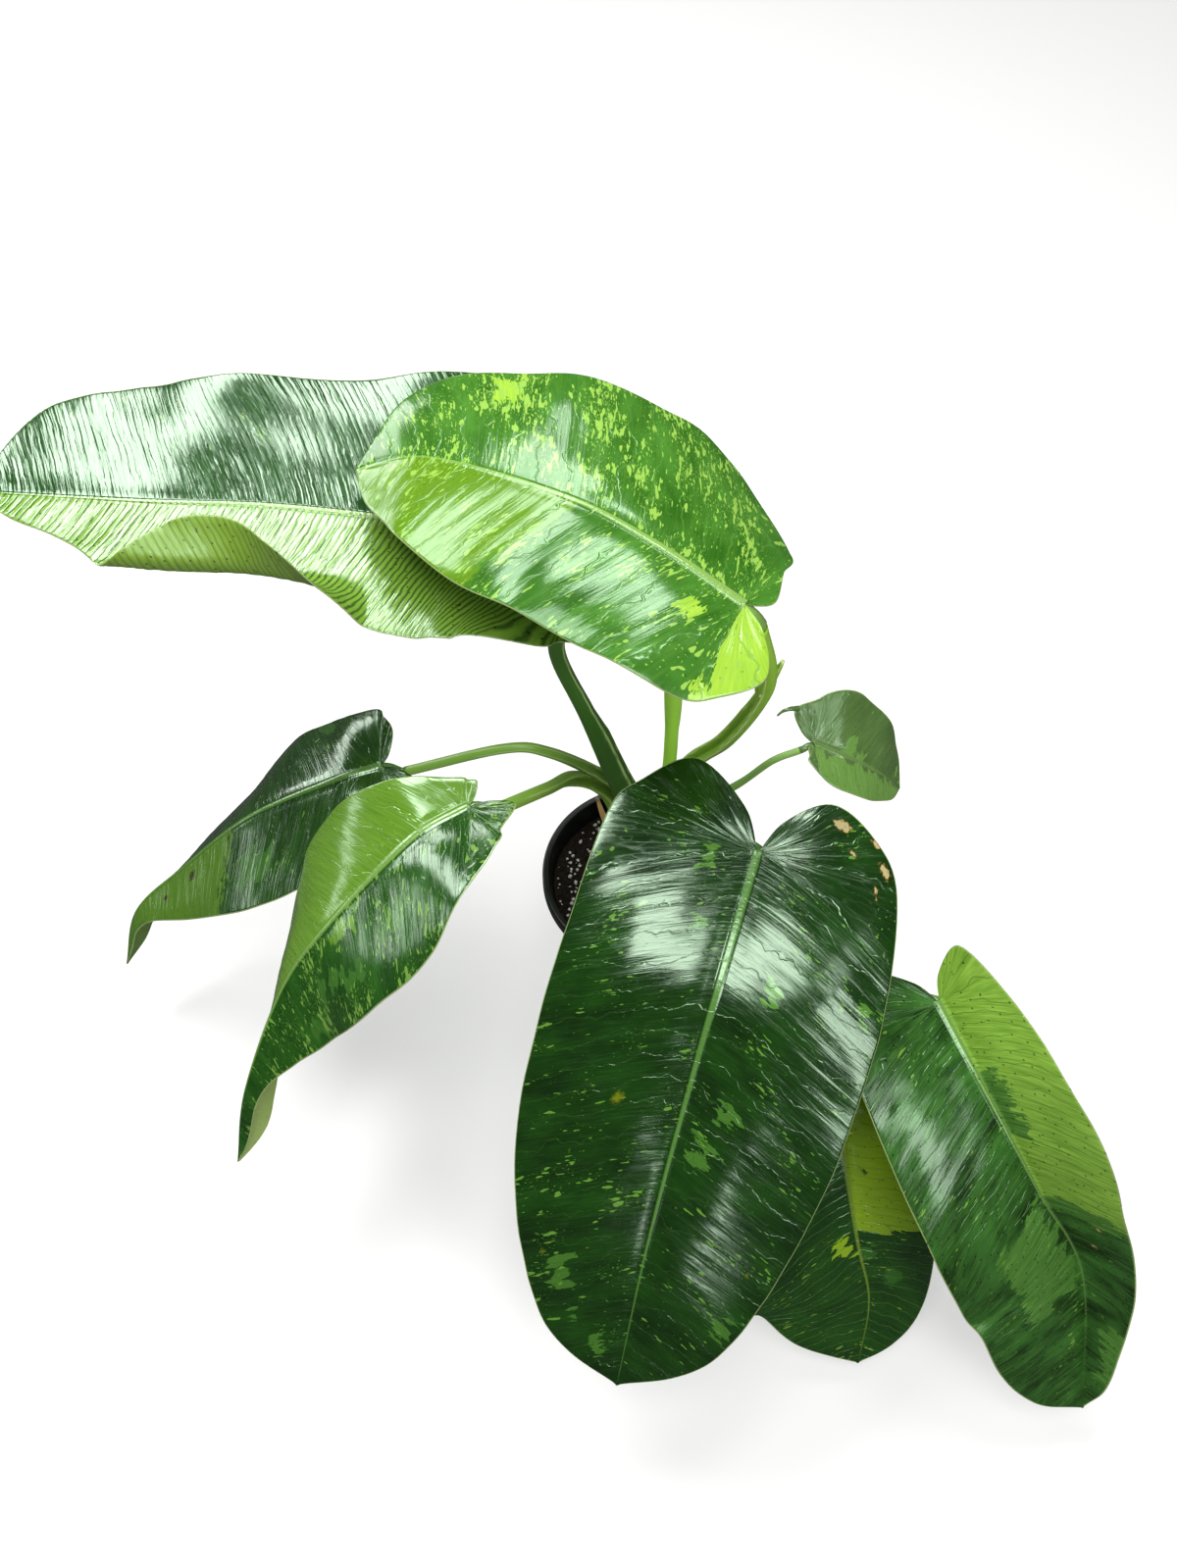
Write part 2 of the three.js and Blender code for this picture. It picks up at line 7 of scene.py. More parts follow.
import bpy
import numpy as np
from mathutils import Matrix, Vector


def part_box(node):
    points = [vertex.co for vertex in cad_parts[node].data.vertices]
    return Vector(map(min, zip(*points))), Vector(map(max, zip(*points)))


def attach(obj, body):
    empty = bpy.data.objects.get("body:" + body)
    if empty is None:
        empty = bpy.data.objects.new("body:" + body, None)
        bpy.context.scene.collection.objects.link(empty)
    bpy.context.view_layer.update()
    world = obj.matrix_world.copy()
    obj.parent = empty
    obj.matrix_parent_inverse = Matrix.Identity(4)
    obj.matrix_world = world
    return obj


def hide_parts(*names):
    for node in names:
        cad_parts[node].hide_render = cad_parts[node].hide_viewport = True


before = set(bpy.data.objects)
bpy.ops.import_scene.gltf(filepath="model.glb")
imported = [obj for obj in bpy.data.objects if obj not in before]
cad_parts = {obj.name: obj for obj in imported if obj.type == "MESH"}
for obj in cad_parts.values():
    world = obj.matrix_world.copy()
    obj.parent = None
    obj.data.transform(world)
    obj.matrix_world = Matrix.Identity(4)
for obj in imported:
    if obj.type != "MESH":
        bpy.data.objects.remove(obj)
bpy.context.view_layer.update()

MM = 0.001
FULL_TURN = 2 * math.pi
LEFT, RIGHT = 1, -1
FINE_SHARES = np.linspace(0, 1, 401)

# Pot, soil, stem, new leaf and dry sheath, in millimetres.
GAP = 0.3
POT_HEIGHT = 95
POT_RIM_RADIUS = 52.5
POT_BASE_RADIUS = 37
POT_WALL = 1.6
POT_FLOOR = 2
RIM_BAND = 8
RIM_STEP = 2
DRAIN_RADIUS = 4
DRAIN_COUNT = 6
DRAIN_RING = POT_BASE_RADIUS - 8
SOIL_TOP = 83
SOIL_RELIEF = 1.6
STEM_PATH = [(0, 2, 48), (0, 4, 78), (1, 10, 106), (2, 18, 133)]
STEM_RADIUS = 6.2
SCAR_HEIGHT = 0.6
STEM_CLEARANCE = 0.9
STEM_AT_SOIL = (0.1, 4.9, SOIL_TOP)
NEW_LEAF_PATH = [(3, 18, 124), (9, 19, 150), (9, 18, 200), (7, 16, 252)]
DRY_SHEATH_PATH = [(-6, 4, 98), (-15, 8, 112), (-21, 12, 126), (-25, 17, 138)]

# Blades and stalks, in millimetres and radians. A side vein runs towards the tip as it runs outwards: its
# foot is led by VEIN_LEAD for each millimetre across, and it bends by the power VEIN_BEND.
BLADE_THICKNESS = 0.8
MARGIN_ROUND = 1.3
KEEL_DEPTH = 3.4
KEEL_WIDTH = 3.2
KEEL_TAPER = 0.7
KEEL_FADING = 0.85
DOME_HEIGHT = 0.55
GROOVE_DEPTH = 0.3
LOBE_BEND = 40
EAR_RADIUS = 3
TAIL_RADIUS = 1.4
WING_ANGLE = 0.6
VEIN_SPACING = 8.5
VEIN_LEAD = 0.45
VEIN_BEND = 1.2
FAN_ROWS = 36
ALONG_ROWS = 160
MIDDLE_COLUMNS = 20
FOLD_STEPS = 12

# How far outside or inside a colour sector or a spot counts, in millimetres.
SECTOR_REACH = 30.0
SPOT_REACH = 9.0


# One half of a blade. lobe is how far it reaches behind the notch and across, shoulder the next place
# (along, across) on its edge, and widths are those at the shares of the length in at. fold, curl and rim are
# degrees upwards at base, middle and tip: the fold at the midrib, the curl added out to the edge and the roll
# of the outer margin. wave is the height in mm, number and phase in degrees of the margin's waves.
class Half(NamedTuple):
    lobe: tuple
    shoulder: tuple
    widths: tuple
    fold: tuple
    curl: tuple
    wave: tuple
    at: tuple = (0, 0.2, 0.4, 0.6, 0.8, 0.93)
    rim: tuple = (0, 0, 0)


# One leaf. midrib runs from the notch, where the stalk joins, to the tip, and left and right are as seen
# from the notch. radius is the stalk's at its foot and its knee, sheath the share of the stalk that is an
# open sheath, and lined the share with pale lines. faces is where the blade looks at the notch, and backward
# how far its lobes bend up behind it, in degrees for each LOBE_BEND. An ear ends a sheath, and a tail draws
# out a lobe.
class Leaf(NamedTuple):
    midrib: list
    left: Half
    right: Half
    stalk: list
    radius: tuple
    sheath: float
    lined: float
    faces: tuple = (0, -0.2, 1)
    backward: float = 0
    ear: list = None
    tail: list = None


LEAVES = {
    "front": Leaf(
        midrib=[(41, -60, 214), (24, -111, 196), (13, -142, 170), (-4, -193, 124), (-17, -240, 72)],
        faces=(0, -0.3, 1), backward=-10,
        left=Half((29, 25), (-20, 45), (60, 68, 68, 63, 50, 32), (8, 8, 4), (-22, -25, -20), (1.5, 2.5, 40)),
        right=Half((32, 36), (-16, 56), (65, 67, 68, 65, 50, 32), (8, 8, 4), (-22, -25, -20), (1.5, 3, 0)),
        stalk=[(3, 14, 120), (11, 4, 142), (22, -25, 178), (31, -47, 198)],
        radius=(5, 3.4), sheath=0.3, lined=0.3,
    ),
    "right": Leaf(
        midrib=[(118, -109, 172), (136, -146, 160), (159, -175, 130), (185, -198, 88), (195, -241, 26)],
        backward=10,
        left=Half((19, 18), (-14, 24), (30, 37, 40, 35, 26, 17, 10), (50, 62, 55), (5, 5, 20), (1.2, 3, 90),
                  at=(0.03, 0.15, 0.3, 0.45, 0.6, 0.8, 0.93)),
        right=Half((22, 22), (-10, 38), (46, 50, 54, 56, 47, 28), (5, 5, 0), (-10, -15, -10), (2, 3, 30)),
        stalk=[(6, 12, 104), (25, -2, 122), (58, -38, 138), (88, -82, 147), (107, -103, 158)],
        radius=(4.6, 3), sheath=0.2, lined=0.2,
    ),
    "under": Leaf(
        midrib=[(78, -108, 120), (83, -144, 108), (92, -178, 72), (100, -198, 43), (97, -220, 16)],
        faces=(0, -0.3, 1), backward=-10,
        left=Half((20, 20), (-10, 36), (40, 42, 39, 36, 27, 15), (8, 8, 4), (-15, -15, -20), (1, 2, 0)),
        right=Half((20, 20), (-10, 36), (46, 56, 60, 61, 52, 35), (8, 8, 4), (-15, -15, -10), (1.5, 2, 90)),
        stalk=[(4, 9, 93), (18, -12, 110), (45, -58, 122), (66, -90, 117)],
        radius=(4.4, 2.8), sheath=0.15, lined=0.15,
    ),
    "left_upper": Leaf(
        midrib=[(-127, 17, 165), (-150, 11, 161), (-195, 6, 136), (-235, -1, 99), (-264, -10, 71),
                (-276, -24, 37)],
        left=Half((17, 19), (-8, 31), (40, 47, 46, 31, 11, 4), (0, 5, -10), (-5, -5, -20), (1.2, 2.5, 0)),
        right=Half((9, 18), (-6, 29), (38, 47, 48, 42, 26, 13), (-10, -35, -70), (-20, -20, -20),
                   (3, 3, 180)),
        stalk=[(1, 12, 99), (-11, 25, 127), (-23, 27, 142), (-47, 15, 178), (-68, 13, 184), (-115, 15, 163)],
        radius=(4, 2.4), sheath=0.45, lined=0.8,
    ),
    "left_lower": Leaf(
        midrib=[(-80, -35, 209), (-104, -49, 204), (-141, -73, 174), (-165, -90, 144), (-184, -122, 108),
                (-191, -145, 76)],
        left=Half((17, 17), (-6, 26), (33, 52, 45, 33, 21, 9, 5), (36, 5, -20), (-10, -5, -10),
                  (1.5, 2.5, 90), at=(0, 0.2, 0.4, 0.6, 0.7, 0.8, 0.93)),
        right=Half((9, 8), (-6, 11), (16, 40, 48, 41, 26, 15), (0, -30, -110), (-10, -20, -30),
                   (1.5, 2.5, 0)),
        stalk=[(-3, 12, 96), (-12, 22, 110), (-21, 29, 126), (-36, 20, 150), (-48, -8, 182),
               (-68, -34, 205)],
        radius=(4.6, 3), sheath=0.6, lined=0.9,
    ),
    "back_large": Leaf(
        midrib=[(-32, 41, 260), (-63, 60, 266), (-97, 70, 271), (-161, 73, 279), (-216, 71, 284),
                (-293, 79, 282)],
        left=Half((20, 18), (-8, 28), (36, 54, 57, 53, 60, 60, 26, 12), (15, 5, 5), (-10, -5, -5),
                  (1.5, 3, 0), at=(0, 0.15, 0.3, 0.4, 0.5, 0.65, 0.8, 0.93), rim=(-420, 105, 120)),
        right=Half((30, 28), (-14, 50), (78, 84, 69, 64, 54, 38), (5, 5, 5), (-10, -10, -10), (2.5, 3.5, 60)),
        stalk=[(-2, 18, 124), (-12, 17, 143), (-29, 27, 190), (-43, 36, 226), (-38, 40, 249)],
        radius=(5.6, 3.8), sheath=0.55, lined=0.95,
    ),
    "back_right": Leaf(
        midrib=[(31, -4, 303), (-3, 19, 312), (-39, 40, 317), (-94, 70, 309), (-127, 79, 294)],
        faces=(0.1, -0.3, 1),
        left=Half((24, 22), (-14, 38), (48, 52, 54, 50, 38, 24), (8, 8, 4), (-20, -20, -20), (2, 3, 0)),
        right=Half((9, 10), (-4, 26), (43, 64, 67, 61, 48, 32), (-10, 2, 4), (-45, -22, -20), (2, 3.5, 90)),
        stalk=[(3, 14, 99), (19, 25, 150), (35, 17, 186), (45, 8, 226), (46, 2, 254), (38, -3, 288)],
        radius=(4.4, 3.4), sheath=0.75, lined=0.9, ear=[(44.5, 5.5, 236), (48.5, 4, 249), (51, 3, 260)],
    ),
    "small": Leaf(
        midrib=[(74, 11, 190), (89, 7, 186), (104, 6, 176), (118, 7, 160)],
        left=Half((14, 12), (-6, 20), (26, 30, 29, 26, 21, 14), (20, 10, 0), (0, 0, 0), (1, 2, 0)),
        right=Half((2, 3), (0, 7), (9, 15, 16, 15, 11, 7), (0, 0, 0), (-10, -10, -10), (0.8, 2, 90)),
        stalk=[(6, 12, 108), (28, 13, 138), (44, 12, 158), (56, 9, 180), (68, 10, 187)],
        radius=(3, 1.7), sheath=0.2, lined=0.2,
        tail=[(67, 24.5, 199.5), (63, 23.5, 200.5), (59.5, 22.5, 200), (57.2, 21.8, 197.5)],
    ),
}


# Curves, rods and closed forms. A form is its places and its faces.
def unit(v):
    """Vectors scaled to a length of 1."""
    return v / np.linalg.norm(v, axis=-1, keepdims=True)


def turns(count):
    """Angles evenly spaced round a full turn."""
    return np.arange(count) / count * FULL_TURN


def ring(radius, turn, height):
    """Places round the axis."""
    return np.stack([radius * np.cos(turn), radius * np.sin(turn), height + 0 * turn], axis=-1)


def curve_at(points, shares):
    """Places and directions on a smooth curve through points, at shares of its parameter."""
    p = np.asarray(points, float)
    ends = np.vstack([2 * p[0] - p[1], p, 2 * p[-1] - p[-2]])
    x = np.asarray(shares, float) * (len(p) - 1)
    i = np.minimum(x.astype(int), len(p) - 2)
    f = (x - i)[:, None]
    before, a, b, after = (ends[i + k] for k in range(4))
    leave, arrive = (b - before) / 2, (after - a) / 2
    cubic = 2 * a - 2 * b + leave + arrive
    square = 3 * b - 3 * a - 2 * leave - arrive
    place = cubic * f**3 + square * f**2 + leave * f + a
    return place, unit(3 * cubic * f**2 + 2 * square * f + leave)


def lengths_along(places):
    """How far along the line through places each of them lies."""
    steps = np.linalg.norm(np.diff(places, axis=0), axis=1)
    return np.concatenate([[0], np.cumsum(steps)])


def even_curve(points, shares):
    """Places and directions on the same curve, at shares of its length."""
    lengths = lengths_along(curve_at(points, FINE_SHARES)[0])
    return curve_at(points, np.interp(np.asarray(shares) * lengths[-1], lengths, FINE_SHARES))


def carried(start, directions):
    """A sideways direction carried along a curve without twisting."""
    side = np.asarray(start, float)
    sides = []
    for direction in directions:
        side = unit(side - (side @ direction) * direction)
        sides.append(side)
    return np.array(sides)


def three_way(values, t):
    """A smooth change through values at the base, the middle and the tip."""
    base, middle, tip = values
    u = np.clip(t, 0, 1)
    return base * (1 - u) * (1 - 2 * u) + 4 * middle * u * (1 - u) + tip * u * (2 * u - 1)


def ease(low, high, x):
    """From 0 at low to 1 at high, smoothly."""
    u = np.clip((x - low) / (high - low), 0, 1)
    return u * u * (3 - 2 * u)


def rounded(u):
    """From 0 to 1, steep at first and level at the end."""
    return 1 - (1 - u) ** 2


def hump(angle, at, spread):
    """A smooth hump of height 1 at an angle, down to 0 at its spread on both sides."""
    away = np.abs(np.arctan2(np.sin(angle - at), np.cos(angle - at)))
    return 0.5 + 0.5 * np.cos(np.minimum(away / spread, 1) * math.pi)


def quads(index):
    """Four-cornered faces over a grid of place numbers."""
    corners = [index[:-1, :-1], index[:-1, 1:], index[1:, 1:], index[1:, :-1]]
    return np.stack(corners, axis=-1).reshape(-1, 4)


def bridged(rings, sides):
    """Faces over rings of places in order, closed by a centre before the first and after the last."""
    index = np.arange(rings * sides).reshape(rings, sides)
    faces = quads(np.hstack([index, index[:, :1]])).tolist()
    first, last = rings * sides, (rings - 1) * sides
    for k in range(sides):
        after = (k + 1) % sides
        faces += [[first, after, k], [first + 1, last + k, last + after]]
    return faces


def closed_sheet(upper, count, shared):
    """Faces of a sheet's upper side, of its lower side count places on, and of the walls round its edge;
    where a place is shared by both sides, they meet and there is no wall."""
    below = np.arange(count) + count
    below[shared] = shared
    sides = upper[:, [0, 1, 1, 2, 2, 3, 3, 0]].reshape(-1, 2)
    sides = sides[sides[:, 0] != sides[:, 1]]
    codes, reverse = sides @ [2 * count, 1], sides[:, ::-1] @ [2 * count, 1]
    edges = sides[~np.isin(codes, reverse)]
    walls = [[v, u, below[u], below[v]] for u, v in edges if below[u] != u or below[v] != v]
    faces = upper.tolist() + below[upper[:, ::-1]].tolist() + walls
    faces = [list(dict.fromkeys(face)) for face in faces]
    return [face for face in faces if len(face) > 2]


def joined(forms):
    """Several forms as one."""
    places, faces, count = [], [], 0
    for own_places, own_faces in forms:
        faces += [[v + count for v in face] for face in own_faces]
        places.append(own_places)
        count += len(own_places)
    return np.vstack(places), faces


def rod(points, radius_at, sections, sides, upper):
    """A rod's form, and each place's share of the length and angle from the upper side."""
    t = np.linspace(0, 1, sections + 1)
    centres, along = even_curve(points, t)
    up = carried(upper, along)
    side = np.cross(along, up)
    share, angle = np.meshgrid(t, turns(sides), indexing="ij")
    outward = up[:, None] * np.cos(angle)[..., None] + side[:, None] * np.sin(angle)[..., None]
    rings = centres[:, None] + radius_at(share, angle)[..., None] * outward
    places = np.vstack([rings.reshape(-1, 3), centres[:1], centres[-1:]])
    form = (places, bridged(sections + 1, sides))
    return form, np.append(share.ravel(), [0, 1]), np.append(angle.ravel(), [0, 0])


def pointed(points, radius, upper):
    """A rod that narrows to a blunt point, with a hollow along its upper side."""
    def radius_at(share, angle):
        return radius * (1 - 0.7 * share) * (1 - 0.3 * hump(angle, 0, 0.8))

    return rod(points, radius_at, 30, 24, upper)


# Blades.
def relief(sheet, pleat):
    """Height in mm of uneven pleats between side veins, of the blade's slow waves and the margin's."""
    vein, share, across = sheet["vein"], sheet["share"], sheet["across"]
    slow_height, ripple_height = 0.5, 0.2
    beat = vein + 2.4 * np.sin(vein / 23 + 2 * share) + 1.2 * np.sin(vein / 7.3 + 4 * share)
    puffed = np.abs(np.cos(math.pi * beat / VEIN_SPACING)) - 0.6
    strength = ease(0, 0.3, share) * (1 - 0.6 * ease(0.75, 1, share))
    slow = np.sin(vein / 13 + across / 19) * np.sin(across / 11 - vein / 29 + 1)
    ripple = np.sin(vein / 4.5 + 2 * np.sin(vein / 31)) * ease(0.8, 1, share)
    return strength * (pleat * puffed + slow_height * slow) + ripple_height * ripple


class Blade:
    """One leaf's blade, as a surface over (along, across) places in millimetres."""

    def __init__(self, leaf):
        self.leaf = leaf
        self.points, self.tangents = curve_at(leaf.midrib, FINE_SHARES)
        self.lengths = lengths_along(self.points)
        self.length = self.lengths[-1]
        self.normals = carried(leaf.faces, self.tangents)

    def frame(self, s):
        """Point, direction to the tip and upward normal, s mm along the midrib or its bend behind it."""
        x = np.interp(s, self.lengths, np.arange(len(self.lengths)))
        i = np.minimum(x.astype(int), len(self.lengths) - 2)
        f = (x - i)[..., None]
        point, ahead, normal = (
            row[i] * (1 - f) + row[i + 1] * f for row in (self.points, self.tangents, self.normals)
        )
        ahead, normal = unit(ahead), unit(normal)
        back = np.maximum(-np.asarray(s), 0)[..., None]
        bend = math.radians(self.leaf.backward) / LOBE_BEND
        angle = back * bend
        reach = np.sin(angle) / bend if bend else back
        rise = (1 - np.cos(angle)) / bend if bend else 0 * back
        tangent = ahead * np.cos(angle) - normal * np.sin(angle)
        up = normal * np.cos(angle) + ahead * np.sin(angle)
        return point - ahead * reach + normal * rise, tangent, up

    def outline(self, half):
        """The edge of one half, (along, across) from the notch round the lobe to the tip."""
        back, across = half.lobe
        notch_side = (-0.55 * back, 0.3 * across)
        points = [(0, 0), notch_side, (-back, across), half.shoulder]
        points += [(share * self.length, width) for share, width in zip(half.at, half.widths)]
        return curve_at(points + [(self.length, 0)], np.linspace(0, 1, 1201))[0]

    def place(self, s, w, half, side):
        """The middle surface at s along and w across the half on a side."""
        point, tangent, up = self.frame(s)
        t = s / self.length
        reach = w / max(half.widths)
        fold, curl, rim = (np.radians(three_way(angles, t)) for angles in (half.fold, half.curl, half.rim))
        rim = np.maximum(0, rim)
        height, count, phase = half.wave
        rise = height * reach**2 * np.sin(FULL_TURN * count * t + math.radians(phase))
        out = 0 * w
        rim_from, rim_to = 0.5, 0.75
        for k in range(FOLD_STEPS):
            share = (k + 0.5) / FOLD_STEPS * reach
            angle = fold + curl * share + rim * np.clip((share - rim_from) / (rim_to - rim_from), 0, 1)
            out = out + np.cos(angle) * w / FOLD_STEPS
            rise = rise + np.sin(angle) * w / FOLD_STEPS
        return point + np.cross(up, tangent) * side * out[..., None] + up * rise[..., None]

    def rows(self, half):
        """Where each side vein starts on the midrib and ends on the edge, and its number in mm.
        Those of the lobe fan out from the notch and have numbers below 0."""
        edge = self.outline(half)
        key = edge[:, 0] - VEIN_LEAD * edge[:, 1]
        low = int(np.argmin(key))
        start = low + int(np.argmax(key[low:] >= 0))
        fan = np.linspace(0.08, 1, FAN_ROWS) * start
        starts = np.linspace(0, self.length, ALONG_ROWS + 1)[1:-1]
        reach = np.maximum.accumulate(key[start:])
        picks = np.append(fan, start + np.interp(starts, reach, np.arange(len(reach))))
        ends = np.stack([np.interp(picks, np.arange(len(edge)), edge[:, k]) for k in (0, 1)], axis=-1)
        lobe = 0.5 * np.linalg.norm(np.diff(edge[: start + 1], axis=0), axis=1).sum()
        vein = np.append((fan / start - 1) * lobe, starts)
        return np.append(np.zeros(FAN_ROWS), starts), ends, vein

    def half_grid(self, half, side):
        """One half as rows of places from the midrib to the edge, with what the skin needs to know."""
        rib_most, brim_most = 0.12, 0.08
        starts, ends, vein = self.rows(half)
        span = np.hypot(ends[:, 0] - starts, ends[:, 1])[:, None]
        rib = np.minimum(KEEL_WIDTH * (1 - KEEL_TAPER * starts[:, None] / self.length) / span, rib_most)
        brim = np.minimum(MARGIN_ROUND / span, brim_most)
        middle = np.linspace(0, 1, MIDDLE_COLUMNS + 1)[1:]
        share = np.hstack([
            rib * np.array([0.2, 0.4, 0.6, 0.8, 1]),
            rib + (1 - brim - rib) * middle,
            1 - brim * np.array([0.6, 0.3, 0.1, 0]),
        ])
        s = starts[:, None] + (ends[:, :1] - starts[:, None]) * share**VEIN_BEND
        return {
            "place": self.place(s, ends[:, 1:] * share, half, side),
            "vein": np.broadcast_to(vein[:, None], share.shape),
            "across": side * span * share,
            "share": share,
            "rib": share / rib,
            "margin": span * (1 - share),
        }

    def sheet(self):
        """The middle surface of both halves: its values, faces seen from above, and edge places."""
        midrib = np.append(0, np.linspace(0, self.length, ALONG_ROWS + 1)[1:])
        zero = 0 * midrib
        parts = [{
            "place": self.frame(midrib)[0], "vein": midrib, "across": zero, "share": zero,
            "rib": zero, "margin": zero + KEEL_WIDTH,
        }]
        count = len(midrib)
        faces = []
        edge_places = [ALONG_ROWS]
        for half, side in ((self.leaf.left, LEFT), (self.leaf.right, RIGHT)):
            grid = self.half_grid(half, side)
            rows, columns = grid["share"].shape
            own = count + np.arange(rows * columns).reshape(rows, columns)
            first = np.append(np.zeros(FAN_ROWS, int), np.arange(1, ALONG_ROWS))
            index = np.vstack([np.hstack([first[:, None], own]), np.full(columns + 1, ALONG_ROWS)])
            faces.append(quads(index)[:, [0, 3, 2, 1] if side == LEFT else [0, 1, 2, 3]])
            edge_places += own[:, -1].tolist()
            parts.append({name: values.reshape(-1, *values.shape[2:]) for name, values in grid.items()})
            count += own.size
        sheet = {name: np.concatenate([part[name] for part in parts]) for name in parts[0]}
        return sheet, np.vstack(faces), np.array(edge_places)

    def skin(self, pleat):
        """The closed blade: places, faces and the skin's values.
        The midrib is a keel below and a low dome between two grooves above, and fades to the tip."""
        sheet, upper, edge_places = self.sheet()
        middle = sheet["place"]
        normals = np.zeros_like(middle)
        diagonals = middle[upper[:, 2]] - middle[upper[:, 0]], middle[upper[:, 3]] - middle[upper[:, 1]]
        for corner in upper.T:
            np.add.at(normals, corner, np.cross(*diagonals))
        normals = unit(normals)
        middle = middle + normals * relief(sheet, pleat)[:, None]
        half = BLADE_THICKNESS / 2 * np.sqrt(rounded(np.minimum(sheet["margin"] / MARGIN_ROUND, 1)))
        spine = np.clip(1 - sheet["rib"], 0, 1)
        fading = 1 - KEEL_FADING * np.clip(sheet["vein"] / self.length, 0, 1)
        keel = KEEL_DEPTH * fading * rounded(spine)
        dome = DOME_HEIGHT * fading * rounded(np.clip(1 - sheet["rib"] / 0.75, 0, 1))
        groove = GROOVE_DEPTH * fading * np.exp(-((sheet["rib"] - 0.95) / 0.2) ** 2)
        top = middle + normals * (half + dome - groove)[:, None]
        bottom = middle - normals * (half + keel)[:, None]
        bottom[edge_places] = top[edge_places]
        names = ("vein", "across", "share", "margin")
        values = {name: np.append(sheet[name], sheet[name]) for name in names}
        pale = 1 - 0.65 * np.clip(values["vein"] / self.length, 0, 1)
        values["rib"] = np.append(spine, spine) * pale
        values["under"] = np.repeat([0.0, 1.0], len(middle))
        return np.vstack([top, bottom]), closed_sheet(upper, len(middle), edge_places), values

    def knee(self):
        """The short knee where the stalk meets the blade, from the stalk's end to under the midrib."""
        r = self.leaf.radius[1]
        stalk = self.leaf.stalk
        (root, on), (ahead, _), (up, up_on) = self.frame(np.array([0.0, 5 * r]))
        rising = even_curve(stalk, [1.0])[1][0]
        end = np.array(stalk[-1])
        points = [end + rising * GAP, end + rising * (GAP + r), root - up * r - ahead * 0.4 * r,
                  on - up_on * 0.9 * r]
        return rod(points, lambda share, angle: r * (1 - 0.45 * share), 14, 20, up)


# Materials.
def linear(code):
    """An sRGB hex colour as the linear colour that a shader takes."""
    shades = [int(code[i : i + 2], 16) / 255 for i in (1, 3, 5)]
    return [c / 12.92 if c <= 0.04045 else ((c + 0.055) / 1.055) ** 2.4 for c in shades] + [1]


def feed(node, inputs):
    """Sets a node's inputs, by name or in order, each to a value, a hex colour, a node's first output or
    (node, output)."""
    for name, source in inputs.items() if isinstance(inputs, dict) else enumerate(inputs):
        if isinstance(source, bpy.types.Node):
            source = (source, 0)
        if isinstance(source, tuple) and isinstance(source[0], bpy.types.Node):
            node.id_data.links.new(source[0].outputs[source[1]], node.inputs[name])
        else:
            node.inputs[name].default_value = linear(source) if isinstance(source, str) else source


def add_node(tree, kind, inputs=(), operation=None, **settings):
    """A node with its inputs, its operation and other settings."""
    node = tree.nodes.new("ShaderNode" + kind)
    if operation:
        node.operation = operation
    for name, value in settings.items():
        setattr(node, name, value)
    feed(node, inputs)
    return node


def new_material(name, inputs):
    """A material with its shader's inputs set; gives the material, a way to add nodes, and the shader."""
    material = bpy.data.materials.new(name)
    material.use_nodes = True
    shader = material.node_tree.nodes["Principled BSDF"]
    feed(shader, inputs)
    return material, partial(add_node, material.node_tree), shader


def streaks(add, way, seed, wide, long, number, detail=3.0):
    """Noise drawn out along the side veins: wide mm from vein to vein and long mm along them. Its seed and
    number set it apart from others."""
    shift = seed + number
    place = add("VectorMath", (way, (1 / wide, 1 / long, 0), (shift, 2.3 * shift, shift)), "MULTIPLY_ADD")
    return add("TexNoise", {"Vector": place, "Scale": 1.0, "Detail": detail, "Roughness": 0.6})


# A blade's colours are layers (source, low, high, most, colour), each on those before it. A layer's colour
# doesn't show where its source is at low, and shows by the share most where it is at high.
def sector_layers(add, noise, look, field, fine):
    """Mid green and lime sectors, whose borders wander by a few millimetres in steps along the veins."""
    steps = noise(5, 16, 9, 4.0)
    jag = add("Math", (steps, 26.0, -13.0), "MULTIPLY_ADD")
    jag = add("Math", (noise(0.9, 4, 13), 7.0, jag), "MULTIPLY_ADD")
    shade = add("MapRange", (fine, 0.3, 0.7))
    layers = []
    for tone, output in (("mid", 1), ("lime", 0)):
        reach = add("Math", ((field, output), jag), "ADD")
        colour = add("MixRGB", (shade, look[tone], look[tone + "_deep"]))
        layers.append((reach, 4.0, 4.3, 1.0, colour))
    return layers


def fleck_layers(add, noise, look, density):
    """Lime blots and dashes along the veins, in patches, and dots down to half a millimetre."""
    patchy = add("Math", (noise(16, 26, 27, 1.0), 0.4, density), "MULTIPLY_ADD")
    layers = []
    for wide, long, low, high in ((3.4, 9, 1.04, 1.05), (1.6, 6.5, 1.0, 1.02), (0.6, 1.6, 1.035, 1.055)):
        fleck = add("Math", (noise(wide, long, 50 * wide, 1.5), patchy), "ADD")
        layers.append((fleck, low, high, 1.0, look["fleck"]))
    return layers


def vein_lines(add, noise, look, number):
    """The side veins: 1 on thin, unevenly spaced lines and 0 between them."""
    spacing, width, _ = look["veins"]
    number = add("Math", (noise(30, 25, 40), 2 * spacing, number), "MULTIPLY_ADD")
    beat = add("Math", (number, spacing / 2), "PINGPONG")
    return add("MapRange", (beat, width, 0.3 * width))


